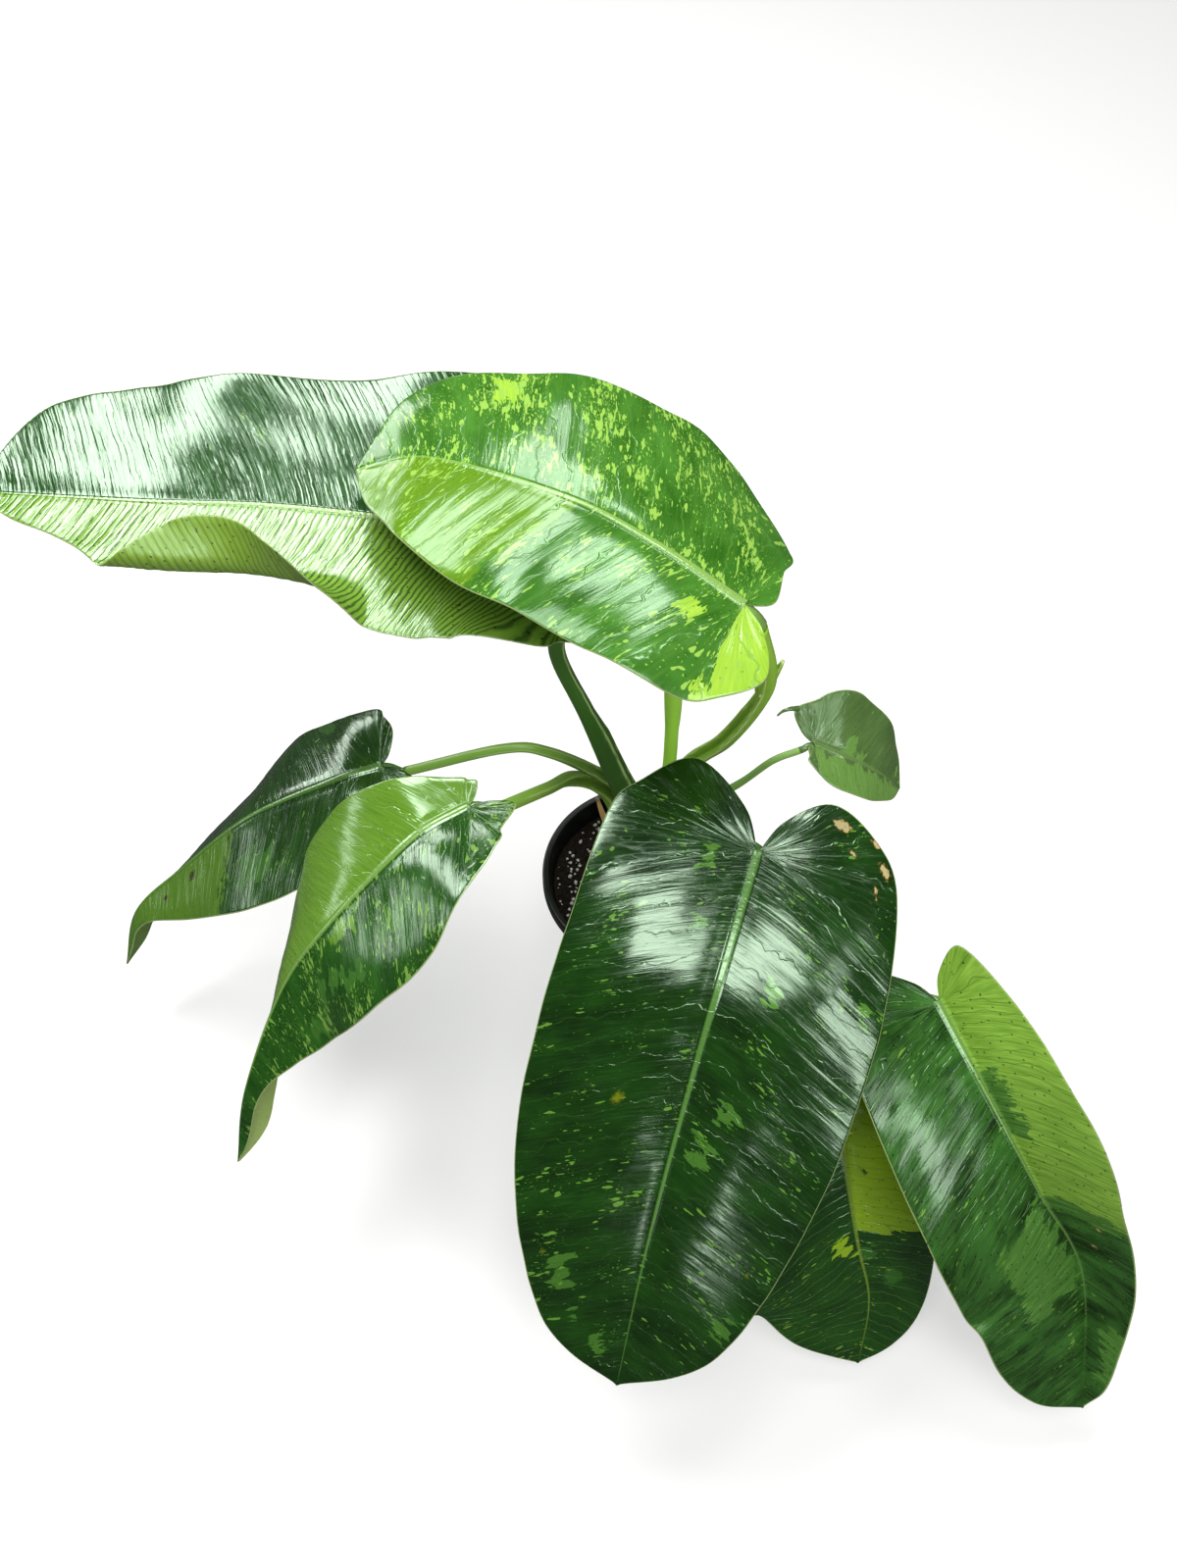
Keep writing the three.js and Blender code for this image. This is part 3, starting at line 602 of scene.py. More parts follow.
def blemish_layers(add, noise, look, way, spot):
    """Cream scars with a brown rim, brown burns, yellowed spots, and tiny dark specks."""
    speck_spacing = 6.25
    ragged = add("Math", (noise(1.2, 1.4, 60), 4.0, -2.0), "MULTIPLY_ADD")
    scar, burn, yellowed = (add("Math", (ragged, (spot, k)), "ADD") for k in range(3))
    place = add("VectorMath", {0: way, "Scale": 1 / speck_spacing}, "SCALE")
    speck = add("TexVoronoi", {"Vector": place, "Scale": 1.0}, voronoi_dimensions="2D")
    return [
        (scar, -0.3, 0.1, 1.0, "#5d4516"),
        (scar, 0.1, 0.5, 1.0, "#a69a6c"),
        (burn, -0.2, 0.5, 0.9, "#2c1a10"),
        (yellowed, -0.5, 2.0, 0.6, "#7f8412"),
        (speck, 0.08, 0.05, look["specks"], "#0c1208"),
    ]


def leaf_relief(add, noise, look, fine, lines, under):
    """Relief too fine for the mesh, and the roughness that goes with it: the veins, and long creases and
    short wrinkles, each a thin valley whose dull walls draw a dark line through the sheen."""
    height = add("Math", (lines, -0.35), "MULTIPLY")
    matt = add("MapRange", (fine, 0.3, 0.8, 0.1, 0.2))
    matt = add("Math", (under, 0.25, matt), "MULTIPLY_ADD")
    for wide, long, depth, rise in ((2.6, 50, look["crease"], 0.6), (1.3, 14, look["wrinkle"], 0.15)):
        wave = noise(wide, long, 31 * wide, 1.0)
        away = add("Math", (wave, 0.5), "SUBTRACT")
        valley = add("MapRange", (add("Math", (away,), "ABSOLUTE"), 0.0, 0.07))
        height = add("Math", (valley, depth, height), "MULTIPLY_ADD")
        height = add("Math", (wave, rise, height), "MULTIPLY_ADD")
        dull = add("MapRange", (valley, 0.5, 0.0, 0.0, look["dull"]))
        matt = add("Math", (dull, matt), "ADD")
    return add("Bump", {"Height": height, "Strength": 0.6, "Distance": 0.3 * MM}), matt


# Leaf blade: a living leaf with a waxy cuticle. The eye sees deep green with a broad sheen, white with a
# trace of green, that fine creases along the side veins break up; lime sectors with stepped borders,
# flecks and a pale midrib.
def leaf_skin(name, look):
    """The skin of one leaf, from the four sets of values that make_leaf stores at its places."""
    material, add, shader = new_material(f"grown_waxy_leaf_{name}", {
        "IOR": 1.48, "Specular IOR Level": look["gloss"], "Specular Tint": (0.72, 1, 0.72, 1),
        "Coat Weight": look["wax"], "Coat IOR": 1.45,
    })
    stored = [
        (add("Attribute", attribute_name=title), "Vector") for title in ("vein", "form", "marks", "spots")
    ]
    number, form, field, spot = (add("SeparateXYZ", [values]) for values in stored)
    way = stored[0]
    noise = partial(streaks, add, way, look["seed"])
    drift, fine = noise(14, 30, 0), noise(0.8, 18, 5)
    lines = vein_lines(add, noise, look, (number, 0))
    layers = [
        (drift, 0.35, 0.65, 1.0, look["fresh"]),
        (fine, 0.5, 0.8, look["streak"], look["mid"]),
        (fine, 0.45, 0.25, 0.5, look["dark"]),
        *sector_layers(add, noise, look, field, fine),
        *fleck_layers(add, noise, look, (field, 2)),
        (lines, 0.0, 1.0, look["veins"][2], look["vein"]),
        ((form, 0), 0.22, 0.5, 0.9, look["rib"]),
        ((form, 2), 0.6, 0.4, 1.0, look["edge"]),
        ((form, 1), 0.0, 1.0, 0.6, look["under"]),
        *blemish_layers(add, noise, look, way, spot),
    ]
    green = look["dark"]
    for source, low, high, most, colour in layers:
        green = add("MixRGB", (add("MapRange", (source, low, high, 0.0, most)), green, colour))
    bump, matt = leaf_relief(add, noise, look, fine, lines, (form, 1))
    feed(shader, {
        "Base Color": green, "Normal": bump, "Coat Normal": bump, "Roughness": matt, "Coat Roughness": matt,
    })
    return material


# Stalk, stem and rolled leaf: a smooth living green skin. The eye sees fine streaks along it, a soft gloss,
# and the thin edges of the sheath paler. Dried out, the same skin is straw-coloured paper.
def stalk_skin(name, low, high, edge):
    """The skin of a rod or strip, between two colours with an edge colour; run is the share of its length,
    the angle round it and how much of an edge each place is."""
    streak_width, usual_radius = 0.4, 3.6
    material, add, shader = new_material(f"grown_stalk_skin_{name}", {
        "IOR": 1.45, "Roughness": 0.35, "Specular IOR Level": 0.6,
    })
    run = (add("Attribute", attribute_name="run"), "Vector")
    parts = add("SeparateXYZ", [run])
    place = add("VectorMath", (run, (2.5, usual_radius / streak_width, 0)), "MULTIPLY")
    streak = add("TexNoise", {"Vector": place, "Scale": 1.0, "Detail": 4.0})
    share = add("Math", (streak, 0.5, (parts, 0)), "MULTIPLY_ADD")
    share = add("Math", (share, 0.25), "SUBTRACT")
    colour = add("MixRGB", ((parts, 2), add("MixRGB", (share, low, high)), edge))
    bump = add("Bump", {"Height": streak, "Strength": 0.3, "Distance": 0.3 * MM})
    feed(shader, {"Base Color": colour, "Normal": bump})
    return material


# Pot: injection-moulded black polypropylene. The eye sees near black with a soft satin highlight,
# a very fine moulded grain and a little dust.
def moulded_polypropylene():
    """The pot's plastic, with dust in patches and a moulded grain, both by their size in mm."""
    dust_patch, grain = 16.6667, 0.4
    material, add, shader = new_material("moulded_black_polypropylene", {"IOR": 1.49})
    place = (add("TexCoord"), "Object")
    dust = add("TexNoise", {"Vector": place, "Scale": 1 / (dust_patch * MM), "Detail": 6.0})
    colour = add("MixRGB", (add("MapRange", (dust, 0.5, 0.8, 0.0, 0.35)), "#0c0d0e", "#2f2d29"))
    rough = add("MapRange", (dust, 0.3, 0.8, 0.3, 0.55))
    relief = add("TexNoise", {"Vector": place, "Scale": 1 / (grain * MM)})
    bump = add("Bump", {"Height": relief, "Strength": 0.15, "Distance": 0.1 * MM})
    feed(shader, {"Base Color": colour, "Roughness": rough, "Normal": bump})
    return material


# Potting mix: damp peat and composted bark. The eye sees dark brown crumbs with lighter, drier faces.
# Perlite: expanded volcanic glass. The eye sees white, matt, crumbly beads, a little grey in their pores.
def rough_grains(name, dark, light, grain, roughness):
    """A dull, broken surface between two colours, its grains a size in mm."""
    material, add, shader = new_material(name, {
        "IOR": 1.4, "Roughness": roughness, "Specular IOR Level": 0.3,
    })
    place = (add("TexCoord"), "Object")
    tone = add("TexNoise", {"Vector": place, "Scale": 1 / (grain * MM), "Detail": 5.0})
    colour = add("MixRGB", (add("MapRange", (tone, 0.35, 0.7)), dark, light))
    bump = add("Bump", {"Height": tone, "Strength": 0.7, "Distance": 0.6 * MM})
    feed(shader, {"Base Color": colour, "Normal": bump})
    return material


# Pieces.
def new_mesh(name, places, faces):
    """A mesh from places in millimetres."""
    mesh = bpy.data.meshes.new(name)
    mesh.from_pydata((np.asarray(places) * MM).tolist(), [], faces)
    return mesh


def new_object(name, data):
    """An object in the scene."""
    thing = bpy.data.objects.new(name, data)
    bpy.context.scene.collection.objects.link(thing)
    return thing


def make_piece(name, form, material, nodes, values=None):
    """A smooth piece that rides with the plant and stands for the nodes; values are sets of three skin
    values at each place."""
    mesh = new_mesh(name, *form)
    for title, rows in (values or {}).items():
        layer = mesh.attributes.new(title, "FLOAT_VECTOR", "POINT")
        layer.data.foreach_set("vector", np.stack(rows, axis=-1).astype(np.float32).ravel())
    mesh.shade_smooth()
    mesh.materials.append(material)
    piece = new_object(name, mesh)
    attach(piece, "root")
    if nodes:
        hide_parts(*nodes)
    return piece


def kept_inside(places, node):
    """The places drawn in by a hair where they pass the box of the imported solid."""
    low, high = (np.array(corner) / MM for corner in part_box(node))
    own_low, own_high = places.min(axis=0), places.max(axis=0)
    low, high = np.maximum(low, own_low), np.minimum(high, own_high)
    return low + (places - own_low) / (own_high - own_low) * (high - low)


def leaf_fields(look, values, length):
    """How far inside the nearest sector or spot of each kind every place lies, in mm, below 0 outside."""
    vein, share, across = values["vein"], values["share"], values["across"]
    span = np.abs(across) / np.maximum(share, 0.01)

    def in_sector(vein_from, vein_to, share_from, share_to):
        depth = np.minimum(vein - vein_from * length, vein_to * length - vein)
        if share_from > 0:
            depth = np.minimum(depth, (share - share_from) * span)
        if share_to < 1:
            depth = np.minimum(depth, (share_to - share) * span)
        return depth

    def in_spot(vein_at, share_at, radius):
        return radius - np.hypot(vein - vein_at * length, (share - share_at) * span)

    def field(kind, depth_in, reach):
        depths = [np.full(len(vein), -reach)]
        for side, *mark in look[kind]:
            depths.append(np.where(np.sign(across) == side, depth_in(*mark), -reach))
        return np.clip(np.max(depths, axis=0), -reach, reach)

    sectors = [field(kind, in_sector, SECTOR_REACH) for kind in ("lime_at", "mid_at")]
    return sectors, [field(kind, in_spot, SPOT_REACH) for kind in ("scars", "burns", "yellowed")]


def make_leaf(name, leaf, look):
    """A leaf's blade, with its knee and its tail as plain rods on it."""
    blade = Blade(leaf)
    places, faces, values = blade.skin(look["pleat"])
    forms = [(places, faces), blade.knee()[0]]
    if leaf.tail:
        forms.append(pointed(leaf.tail, TAIL_RADIUS, (0, 0, 1))[0])
    for (rod_places, _), rib in zip(forms[1:], (1, 0)):
        plain = {"rib": rib, "margin": SPOT_REACH}
        values = {
            title: np.append(row, np.full(len(rod_places), plain.get(title, 0)))
            for title, row in values.items()
        }
    sectors, spots = leaf_fields(look, values, blade.length)
    flecks = np.where(values["across"] > 0, *look["flecks"])
    flecks[len(places):] = -1
    skin = {
        "vein": [values[title] for title in ("vein", "across", "share")],
        "form": [values[title] for title in ("rib", "under", "margin")],
        "marks": [*sectors, flecks],
        "spots": spots,
    }
    places, faces = joined(forms)
    node = f"blade_{name}"
    form = (kept_inside(places, node), faces)
    make_piece(f"leaf_{name}", form, leaf_skin(name, look), [node], skin)


def make_stalk(name, leaf, colours):
    """A leaf's stalk: at its foot an open sheath, a hollow between two wings with pale edges."""
    low, high = leaf.radius
    start, after = np.array(leaf.stalk[:2], float)
    upper = unit((start - after) * (1, 1, 0)) + (0, 0, 0.5)

    def radius_at(share, angle):
        body = low + (high - low) * np.minimum(1, share * 1.5)
        sheathed = np.clip((leaf.sheath - share) / 0.12, 0, 1)
        wings = 0.5 * (hump(angle, WING_ANGLE, 0.55) + hump(angle, -WING_ANGLE, 0.55))
        return body * (1 + sheathed * (wings - 0.25 * hump(angle, 0, 0.5)))

    form, share, angle = rod(leaf.stalk, radius_at, 90, 40, upper)
    wing = WING_ANGLE + 0.07 * np.sin(75 * share) * np.sin(31 * share)
    lined = np.clip((leaf.lined - share) / 0.05, 0, 1)
    edge = lined * np.maximum(hump(angle, wing, 0.16), hump(angle, -wing, 0.16))
    if leaf.ear:
        ear, ear_share, ear_angle = pointed(leaf.ear, EAR_RADIUS, upper)
        form = joined([form, ear])
        share, angle = np.append(share, 0.4 + 0.6 * ear_share), np.append(angle, ear_angle)
        edge = np.append(edge, hump(ear_angle, 0.8, 0.3) + ease(0.9, 1, ear_share))
    skin = stalk_skin(name, *colours)
    make_piece(f"petiole_{name}", form, skin, [f"stalk_{name}"], {"run": [share, angle, edge]})


# The looks of the leaves. tones are the colours in the order of TONES. pleat is the height of the pleats in
# mm, crease and wrinkle how deep those are and dull how matt, wax and gloss the strength of the sheen, streak
# and specks how much they show. veins are the spacing and width of the side veins in mm and how much they
# show, and flecks how dense the flecks are left and right. A sector of lime_at or mid_at is its half,
# from and to along the midrib, and from and to across the half, as shares. A scar, burn or yellowed spot is
# its half, how far along and across, and its radius in mm. stalk is two greens and the edge's colour.
TONES = ("dark", "fresh", "mid", "mid_deep", "lime", "lime_deep", "fleck", "rib", "vein", "under")
PLAIN_LOOK = {
    "pleat": 0.12, "crease": 0.12, "wrinkle": 0.04, "dull": 0.12, "wax": 0.35, "gloss": 0.8,
    "streak": 0.35, "specks": 0.3, "veins": (11, 0.35, 0.2), "flecks": (0.15, 0.15), "edge": "#83955f",
    "lime_at": [], "mid_at": [], "scars": [], "burns": [], "yellowed": [],
    "stalk": ("#507d27", "#6e9841", "#93ae5f"),
}
LOOKS = {
    "front": {
        "tones": "#082203 #133807 #406a23 #325c1b #4e7c2b #406c22 #56812d #4f7935 #356220 #627e38",
        "crease": 0.07, "streak": 0.15, "flecks": (0.1, 0.11),
        "lime_at": [(RIGHT, -0.02, 0.02, 0.24, 0.32), (LEFT, 0.18, 0.21, 0.28, 0.36),
                    (LEFT, 0.09, 0.125, 0.8, 0.9), (RIGHT, 0.12, 0.14, 0.15, 0.26)],
        "mid_at": [(LEFT, 0.41, 0.445, 0.2, 0.33), (LEFT, 0.49, 0.53, 0.13, 0.27),
                   (RIGHT, 0.7, 0.78, 0.62, 0.8), (RIGHT, 0.82, 0.86, 0.58, 0.7),
                   (RIGHT, 0.88, 0.95, 0.4, 0.6), (LEFT, 0.73, 0.79, 0.75, 0.92)],
        "scars": [(LEFT, -0.11, 0.84, 2.6), (LEFT, -0.07, 0.75, 1.4), (LEFT, -0.08, 0.97, 1.5),
                  (LEFT, -0.03, 0.84, 1.2), (LEFT, -0.05, 0.93, 2.0), (LEFT, -0.05, 0.27, 0.9)],
        "burns": [(LEFT, -0.03, 0.2, 2.2), (LEFT, -0.05, 0.32, 2.4), (RIGHT, 0.43, 0.02, 0.8)],
        "yellowed": [(RIGHT, 0.43, 0.41, 3.0), (RIGHT, 0.52, 0.65, 0.8), (RIGHT, 0.7, 0.83, 1.4),
                     (LEFT, 0.65, 0.79, 1.2), (RIGHT, 0.36, 0.72, 0.8)],
    },
    "right": {
        "tones": "#0d2605 #326123 #517f33 #2e561a #87ae43 #547f20 #679036 #678c44 #24491e #67823c",
        "crease": 0.07, "wax": 0.15, "gloss": 0.55, "streak": 0.6, "specks": 0.8, "veins": (5, 0.3, 0.35),
        "flecks": (0.07, 0.09),
        "lime_at": [(LEFT, -1, 0.13, 0, 1), (LEFT, 0.08, 0.3, 0.24, 1), (LEFT, 0.27, 0.42, 0, 1)],
        "mid_at": [(RIGHT, 0.42, 0.68, 0.06, 0.58), (LEFT, 0.04, 0.24, 0, 1), (LEFT, 0.2, 0.46, 0, 1),
                   (LEFT, 0.74, 0.9, 0.5, 1)],
        "scars": [(LEFT, 0.54, 0.42, 1.2), (LEFT, 0.47, 0.6, 1.3)],
    },
    "under": {
        # The lime is this leaf's real lime sector made lighter: painted light on a part that the leaves above
        # keep in shade.
        "tones": "#11310a #1c4410 #2f5e1d #255016 #82a21d #729216 #67882b #678029 #486a16 #67823c",
        "crease": 0.07, "specks": 0.6, "veins": (5, 0.3, 0.4), "flecks": (0.08, 0.1),
        "lime_at": [(LEFT, -1, 0.52, 0, 1), (RIGHT, 0.52, 0.58, 0.08, 0.22)],
        "mid_at": [(LEFT, 0.57, 0.63, 0.02, 0.2), (LEFT, 0.66, 0.73, 0.32, 0.5)],
        "burns": [(LEFT, 0.33, 0.2, 1.6)],
    },
    "left_upper": {
        # The mid green and the mid green patch across the middle of the left half are real mottling, set
        # lighter as painted sheen where a soft sheen lies on this blade.
        "tones": "#12300a #224615 #386223 #274c1a #4e731e #3e6215 #517929 #517736 #386028 #627b36",
        "crease": 0.25, "flecks": (0.1, 0.1), "stalk": ("#60882e", "#759f40", "#a8c378"),
        "lime_at": [(LEFT, 0.42, 1.2, 0, 1), (RIGHT, 0.6, 1.2, 0, 1)],
        "mid_at": [(LEFT, 0.24, 0.36, 0.4, 0.75), (RIGHT, 0.02, 0.1, 0.75, 0.95)],
        "burns": [(LEFT, 0.57, 0.3, 2.6), (LEFT, 0.68, 0.45, 1.8), (RIGHT, 0.78, 0.68, 1.4)],
    },
    "left_lower": {
        # The last tone, the underside, is the pale real underside made lighter still: painted light on faces
        # that turn down into shade, as at the tip flap.
        "tones": "#103505 #204e10 #356220 #295316 #5f8528 #486f18 #628836 #668940 #487130 #b2c76f",
        "flecks": (0.17, 0.1), "stalk": ("#60862d", "#7fa841", "#afc873"),
        "lime_at": [(RIGHT, -1, 0.62, 0, 1), (LEFT, 0.31, 0.39, 0.1, 0.24)],
        "mid_at": [(LEFT, 0.14, 0.25, 0.38, 0.58), (LEFT, 0.37, 0.46, 0.4, 0.6),
                   (LEFT, 0.5, 0.58, 0.7, 0.9), (LEFT, 0.3, 0.36, 0.55, 0.72)],
    },
    "back_large": {
        "tones": "#143813 #204c1d #305f26 #264f1e #799f3c #628a28 #6a913c #8fab69 #203e10 #6e8c23",
        "pleat": 0.2, "crease": 0.25, "specks": 0.9, "veins": (3, 0.9, 0.8), "flecks": (0.05, 0.08),
        "stalk": ("#2d5714", "#417122", "#b6cf88"), "lime_at": [(LEFT, -1, 1.2, 0, 1)],
        "burns": [(LEFT, 0.37, 0.56, 1.3), (LEFT, 0.1, 0.65, 1.2), (LEFT, 0.14, 0.79, 0.9)],
    },
    "back_right": {
        "tones": "#275613 #407426 #5b821a #4c7410 #95ba3c #7da82b #82ab46 #799d4e #518134 #6e8c30",
        "pleat": 0.1, "crease": 0.06, "wrinkle": 0.03, "dull": 0.06, "wax": 0.1, "gloss": 0.45,
        "veins": (12, 0.6, 0.4), "flecks": (0.16, 0.19), "stalk": ("#689820", "#8dbb33", "#c8db8f"),
        "lime_at": [(LEFT, -1, -0.06, 0, 1), (LEFT, 0.03, 0.08, 0.25, 0.38),
                    (RIGHT, 0.58, 0.65, 0.72, 0.95)],
        "mid_at": [(LEFT, 0.42, 1.2, 0, 1)],
    },
    "small": {
        "tones": "#435e2e #536f3b #6a9146 #597f39 #749848 #668a3b #6f9048 #5e7b43 #466736 #6a8541",
        "crease": 0.1, "wax": 0.1, "gloss": 0.5, "flecks": (0.0, 0.12),
        "stalk": ("#73a14c", "#82aa58", "#a2b978"), "lime_at": [(LEFT, 0.8, 1.1, 0.2, 0.8)],
        "mid_at": [(RIGHT, 0, 1, 0.1, 1), (LEFT, 0.2, 0.4, 0, 0.3)],
    },
}


# Stem and new leaf.
def make_stem():
    """The short stem, with a ring of old leaf scars at every third of sixteen steps up it."""
    def radius_at(share, angle):
        scar = SCAR_HEIGHT * np.maximum(0, np.cos(FULL_TURN * (share * 16 - 2) / 3)) ** 6
        return STEM_RADIUS * (1 - 0.12 * share) * (1 - 0.35 * ease(0.95, 1, share)) + scar

    form, share, angle = rod(STEM_PATH, radius_at, 120, 48, (0, -1, 0))
    skin = stalk_skin("stem", "#4c7424", "#6c9c38", "#8cb052")
    make_piece("stem_fine", form, skin, ["stem"], {"run": [share, angle, 0 * share]})


def make_new_leaf():
    """The still rolled new leaf: a stalk below, and above it a swollen roll with a seam that winds round."""
    def seam(share, angle, spread):
        return ease(0.5, 0.6, share) * hump(angle, 1 + 1.5 * share, spread)

    def radius_at(share, angle):
        body = 3.2 + 0.8 * np.sin(np.clip((share - 0.55) / 0.45, 0, 1) * math.pi)
        point = 1 - 0.85 * ease(0.8, 1, share)
        return body * point * (1 + 0.14 * seam(share, angle, 0.7))

    form, share, angle = rod(NEW_LEAF_PATH, radius_at, 110, 40, (0, -1, 0))
    # Its greens are lighter than the rolled leaf's own colour: painted light, for light that shines through
    # it where it stands in the shade of the leaf above.
    skin = stalk_skin("new_leaf", "#98d838", "#a8e448", "#cdee90")
    values = {"run": [share, angle, seam(share, angle, 0.2)]}
    make_piece("new_leaf_fine", form, skin, ["new_leaf"], values)


# Pot.
def turned(profile, segments):
    """A closed turned form through (radius, height) places that start and end on the axis."""
    rings = np.array(profile[1:-1], float)
    places = ring(rings[:, :1], turns(segments), rings[:, 1:]).reshape(-1, 3)
    places = np.vstack([places, (0, 0, profile[0][1]), (0, 0, profile[-1][1])])
    return places, bridged(len(rings), segments)


def inner_radius(z):
    """The inside of the pot's wall at a height."""
    return POT_BASE_RADIUS - POT_WALL + (POT_RIM_RADIUS - RIM_STEP - POT_BASE_RADIUS) * z / POT_HEIGHT


def arc(centre, radius, start, end, steps=6):
    """Points of a rounded corner in the profile, from one angle to another in degrees."""
    angles = np.radians(np.linspace(start, end, steps))
    return [(centre[0] + radius * math.cos(a), centre[1] + radius * math.sin(a)) for a in angles]


def pot_profile():
    """The pot's section, from the axis below round the wall and rim to the axis inside."""
    base_round, rim_round, lip_round, ledge = 1.2, 1, 0.8, 0.6
    band_foot = POT_HEIGHT - RIM_BAND
    wall = inner_radius(band_foot) + POT_WALL
    rim = POT_RIM_RADIUS - rim_round
    lip = inner_radius(POT_HEIGHT) + lip_round
    return [
        (0, 0), (POT_BASE_RADIUS - 2, 0),
        *arc((POT_BASE_RADIUS - 1.5, base_round), base_round, -80, 0),
        (wall, band_foot - ledge), (wall + ledge, band_foot),
        *arc((rim, band_foot + rim_round), rim_round, -90, 0, 5),
        *arc((rim, POT_HEIGHT - rim_round), rim_round, 0, 90),
        *arc((lip, POT_HEIGHT - lip_round), lip_round, 90, 180),
        (inner_radius(band_foot), band_foot), (inner_radius(2 * POT_FLOOR), 2 * POT_FLOOR),
        (inner_radius(POT_FLOOR) - 1.5, POT_FLOOR), (0, POT_FLOOR),
    ]


def drill_holes(pot):
    """Cuts the ring of drainage holes through the base."""
    drill, shell = turned([(0, -5), (DRAIN_RADIUS, -5), (DRAIN_RADIUS, 5), (0, 5)], 32)
    drills = [(drill + centre, shell) for centre in ring(DRAIN_RING, turns(DRAIN_COUNT), 0)]
    cutter = new_object("drills", new_mesh("drills", *joined(drills)))
    cut = pot.modifiers.new("drain", "BOOLEAN")
    cut.object = cutter
    pot.data = bpy.data.meshes.new_from_object(pot.evaluated_get(bpy.context.evaluated_depsgraph_get()))
    pot.data.set_sharp_from_angle(angle=math.radians(40))
    pot.modifiers.clear()
    bpy.data.objects.remove(cutter)


# Soil.
def soil_height(r, angle):
    """The uneven top of the soil: low swells, and crumbs a few millimetres wide."""
    swells = np.sin(r * 0.35 + 3 * angle) + np.sin(r * 0.21 - 5 * angle + 1)
    x, y = r * np.cos(angle), r * np.sin(angle)
    crumbs = np.sin(1.9 * x + 2 * np.sin(1.3 * y)) * np.sin(2.1 * y + 2 * np.sin(1.1 * x + 1))
    return SOIL_TOP + SOIL_RELIEF / 3 * (swells + np.cos(7 * angle + r / 4)) + 0.35 * crumbs


def soil_body():
    """The filling of the pot, closed, with a plain hole round the foot of the stem."""
    spokes = 180
    turn = turns(spokes)
    rim, foot = inner_radius(SOIL_TOP) - GAP, POT_FLOOR + GAP
    hole_low, hole_high = np.array(STEM_PATH[0], float), np.array(STEM_AT_SOIL)
    hole = STEM_RADIUS + STEM_CLEARANCE
    rings = [ring(inner_radius(foot) - GAP, turn, foot)]
    for u in np.linspace(1, 0, 60) ** 0.8:
        x, y, _ = (hole_high * (1 - u) + ring(hole + (rim - hole) * u, turn, 0)).T
        z = soil_height(np.hypot(x, y), np.arctan2(y, x))
        rings.append(np.stack([x, y, z], axis=-1))
    rings.append(hole_low + ring(hole, turn, 0))
    places = np.vstack(rings + [np.array([[0, 0, foot]]), hole_low[None]])
    return places, bridged(len(rings), spokes)


def grains(count, seed, sizes, flatness, depth):
    """Loose rounded lumps strewn on the soil between the stem and the wall of the pot, of sizes in mm;
    flatness is their least thickness and depth how deep they sink, as shares of the size."""
    clear_of_stem = 14
    draw = np.random.default_rng(seed)
    rows, spokes = 4, 7
    tilt, turn = np.meshgrid(np.linspace(0, math.pi, rows + 2)[1:-1], turns(spokes), indexing="ij")
    ball = np.vstack([ring(np.sin(tilt), turn, -np.cos(tilt)).reshape(-1, 3), (0, 0, -1), (0, 0, 1)])
    shell = bridged(rows, spokes)
    lumps = []
    for _ in range(count):
        size = sizes[0] + (sizes[1] - sizes[0]) * draw.random() ** 2
        angle = draw.random() * FULL_TURN
        r = np.sqrt(draw.uniform(clear_of_stem**2, (inner_radius(SOIL_TOP) - 1 - size) ** 2))
        turned_by, _ = np.linalg.qr(draw.normal(size=(3, 3)))
        turned_by[:, 0] *= np.linalg.det(turned_by)
        lump = ball * draw.uniform(0.75, 1.1, (len(ball), 1)) * size / 2
        lump = (lump * (1, draw.uniform(flatness, 1), draw.uniform(flatness, 1))) @ turned_by.T
        height = soil_height(r, angle) + size * (0.5 * flatness - depth)
        lumps.append((lump + ring(r, angle, height), shell))
    return joined(lumps)


def make_soil():
    """The potting mix with crumbs of bark strewn on it, and the perlite beads among them."""
    mix = joined([soil_body(), grains(count=900, seed=11, sizes=(0.8, 3.6), flatness=0.45, depth=0.15)])
    peat = rough_grains("peat_and_composted_bark", "#0a0806", "#2b2118", grain=1.6, roughness=0.85)
    make_piece("potting_mix_fine", mix, peat, ["soil"])
    beads = grains(count=420, seed=12, sizes=(0.7, 2.6), flatness=0.7, depth=0.0)
    glass = rough_grains("expanded_perlite", "#c4c0b8", "#fbfaf6", grain=0.7, roughness=0.8)
    make_piece("perlite", beads, glass, [])


# Dry sheath: the papery remnant of an old sheath. The eye sees straw brown with paler, torn edges.
def make_dry_sheath():
    """A thin strip, curled across, with lengthwise folds and a torn tip."""
    rows, columns = 70, 24
    width, curl, fold_height, half_thickness = 5, math.radians(70), 0.25, 0.16
    facing = np.array([0, -1, 0.4])
    t, across = (
        grid.ravel() for grid in
        np.meshgrid(np.linspace(0, 1, rows + 1), np.linspace(-0.5, 0.5, columns + 1), indexing="ij")
    )
    torn = 0.06 * np.sin(across * 21) + 0.04 * np.sin(across * 47 + 1)
    t = t * (1 - ease(0, 1, t) * (0.06 + torn))
    centres, along = even_curve(DRY_SHEATH_PATH, t)
    up = unit(facing - along * (along @ facing)[:, None])
    side = np.cross(up, along)
    angle = curl * across
    r = width * (1 - 0.7 * t**2) / curl
    lift = r * (1 - np.cos(angle)) + fold_height * np.sin(across * 30 + 3 * t)
    middle = centres + side * (r * np.sin(angle))[:, None] + up * lift[:, None]
    places = np.vstack([middle + up * half_thickness, middle - up * half_thickness])
    upper = quads(np.arange(len(middle)).reshape(rows + 1, columns + 1))
    share, turn = np.append(t, t), np.append(across, across) * 2
    paper = stalk_skin("dry_sheath", "#7a5a33", "#c8a870", "#e0cb9a")
    make_piece("dry_sheath_fine", (places, closed_sheet(upper, len(middle), [])), paper,
               ["dry_sheath"], {"run": [share, 3 * turn, ease(0.7, 1, np.abs(turn))]})


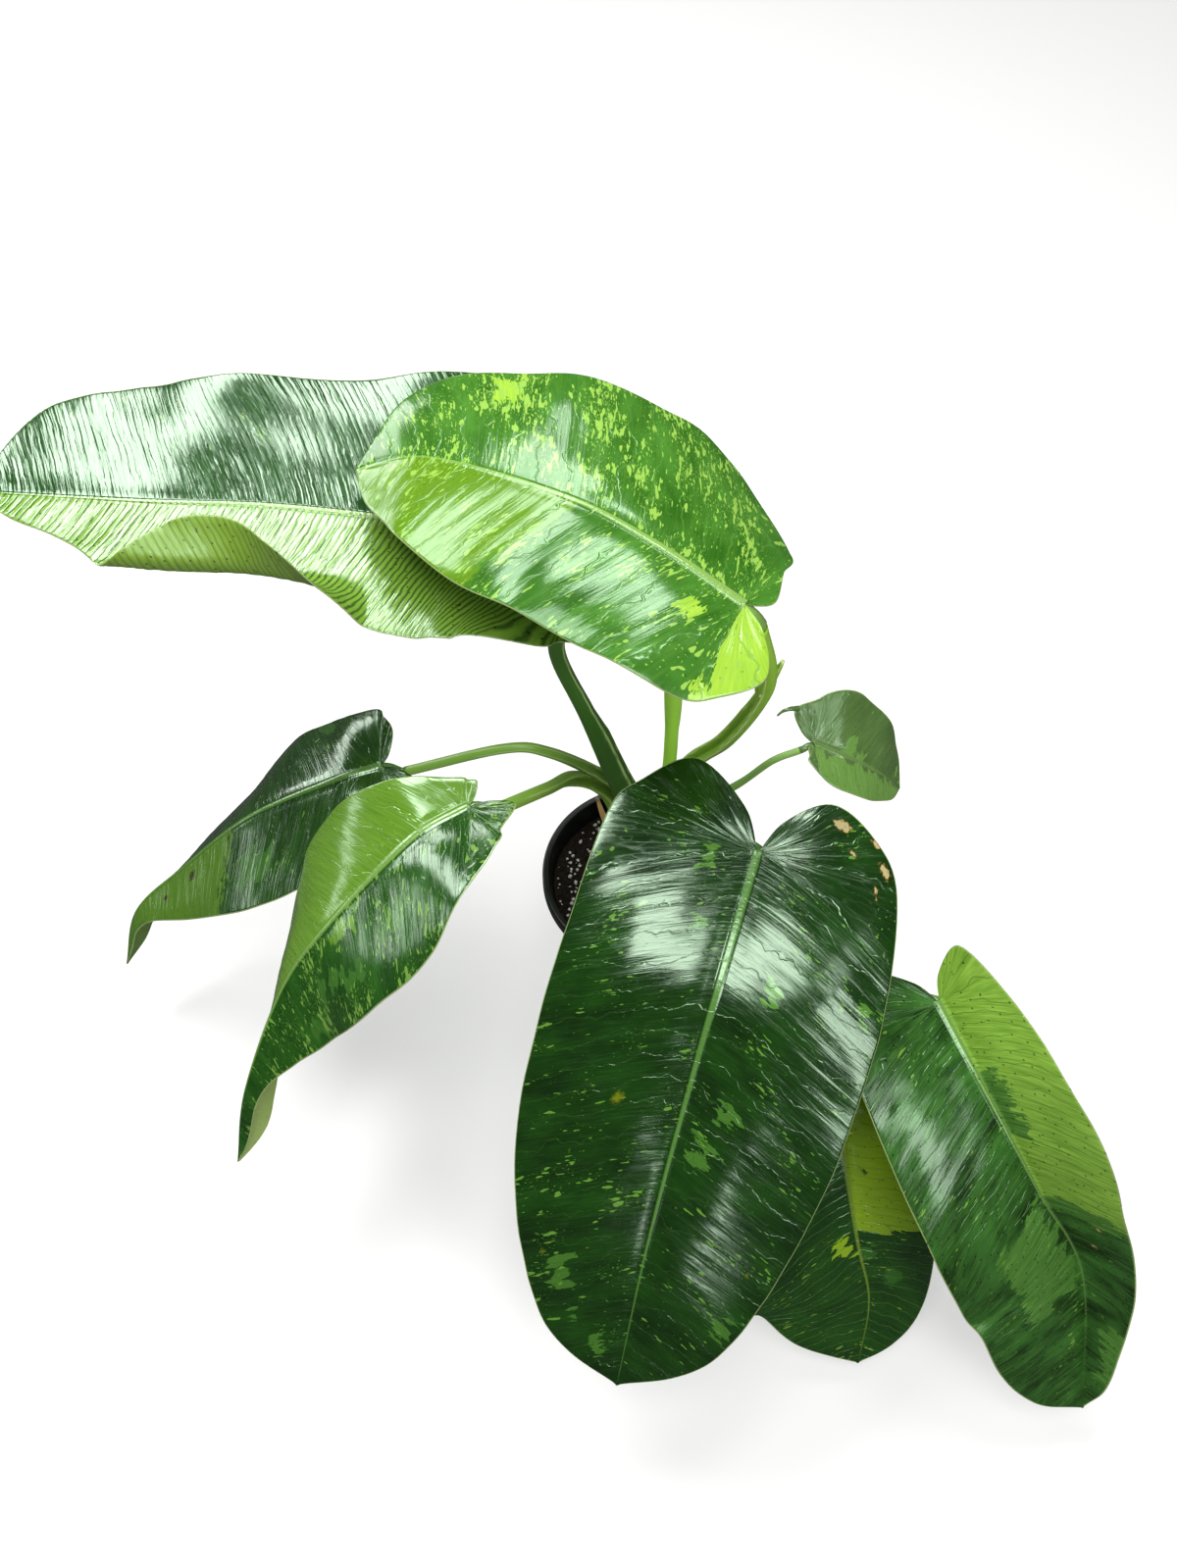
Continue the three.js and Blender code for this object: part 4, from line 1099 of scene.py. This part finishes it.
# Camera, light and floor, in metres.
def make_camera():
    """The camera of the photograph's view: focal length and image height in pixels, sensor in mm."""
    focal_pixels, image_height, sensor_height = 1400, 1599, 36
    lens = bpy.data.cameras.new("camera")
    lens.lens = focal_pixels / image_height * sensor_height
    camera = new_object("camera", lens)
    camera.location = (-0.029, -0.35475, 0.70007)
    camera.rotation_euler = (math.radians(34), 0, 0)
    bpy.context.scene.camera = camera


def make_lights():
    """Soft studio panels round the plant: name, place, width and height, and brightness."""
    lights_aim = Vector((0, 0, 0.2))
    for name, place, size, glow in (
        ("front_overhead", (-0.12, -0.48, 1.5), (0.6, 0.5), 12),
        ("back_overhead", (-0.49, 0.58, 1.5), (1.02, 0.44), 16),
        ("centre_overhead", (0.09, 0.28, 1.5), (0.24, 0.3), 20),
        ("right_overhead", (0.49, -0.53, 1.35), (0.26, 0.26), 5),
        ("right_front", (0.58, -0.91, 0.93), (0.28, 0.75), 9),
        ("front_low", (0, -1.2, 0.5), (0.06, 0.18), 9),
        ("left_back", (-1.02, 0.56, 0.56), (0.35, 0.4), 9),
        ("far_back", (-0.88, 0.98, 0.57), (0.35, 0.35), 7),
        ("left_low", (-1.15, 0.1, 0.33), (0.3, 0.15), 4),
    ):
        light = bpy.data.lights.new(name, "AREA")
        light.shape = "RECTANGLE"
        light.size, light.size_y = size
        light.energy = glow * math.pi * size[0] * size[1]
        panel = new_object(name, light)
        panel.location = place
        panel.rotation_euler = (lights_aim - Vector(place)).to_track_quat("-Z", "Y").to_euler()


def make_world():
    """A pale room, bright where the camera sees it and dim as a light."""
    dim, bright = 0.08, 0.9
    world = bpy.data.worlds.new("studio")
    world.use_nodes = True
    tree = world.node_tree
    ray = (add_node(tree, "LightPath"), "Is Camera Ray")
    strength = add_node(tree, "MapRange", {0: ray, 3: dim, 4: bright})
    feed(tree.nodes["Background"], {"Color": "#fafbfc", "Strength": strength})
    bpy.context.scene.world = world
    bpy.context.scene.view_settings.view_transform = "Standard"


# Floor: a sweep of matt paper. The eye sees an even pale grey with light shadows, so it glows a little,
# and the leaves show no mirror image of it.
def make_floor():
    """The floor under the pot, a square that reaches far out of view."""
    reach = 3000
    corners = [(-reach, -reach, 0), (reach, -reach, 0), (reach, reach, 0), (-reach, reach, 0)]
    floor = new_object("floor", new_mesh("floor", corners, [[0, 1, 2, 3]]))
    paper, _, _ = new_material("matt_paper_sweep", {
        "Base Color": "#b4b4b2", "Roughness": 0.9, "Emission Color": "#ffffff", "Emission Strength": 0.48,
    })
    floor.data.materials.append(paper)
    floor.visible_glossy = False


for seed, (leaf_name, leaf) in enumerate(LEAVES.items(), 1):
    look = {"seed": seed, **PLAIN_LOOK, **LOOKS[leaf_name]}
    look.update(zip(TONES, look["tones"].split()))
    make_leaf(leaf_name, leaf, look)
    make_stalk(leaf_name, leaf, look["stalk"])
make_stem()
make_new_leaf()
drill_holes(make_piece("grower_pot", turned(pot_profile(), 192), moulded_polypropylene(), ["pot"]))
make_soil()
make_dry_sheath()
make_camera()
make_lights()
make_world()
make_floor()
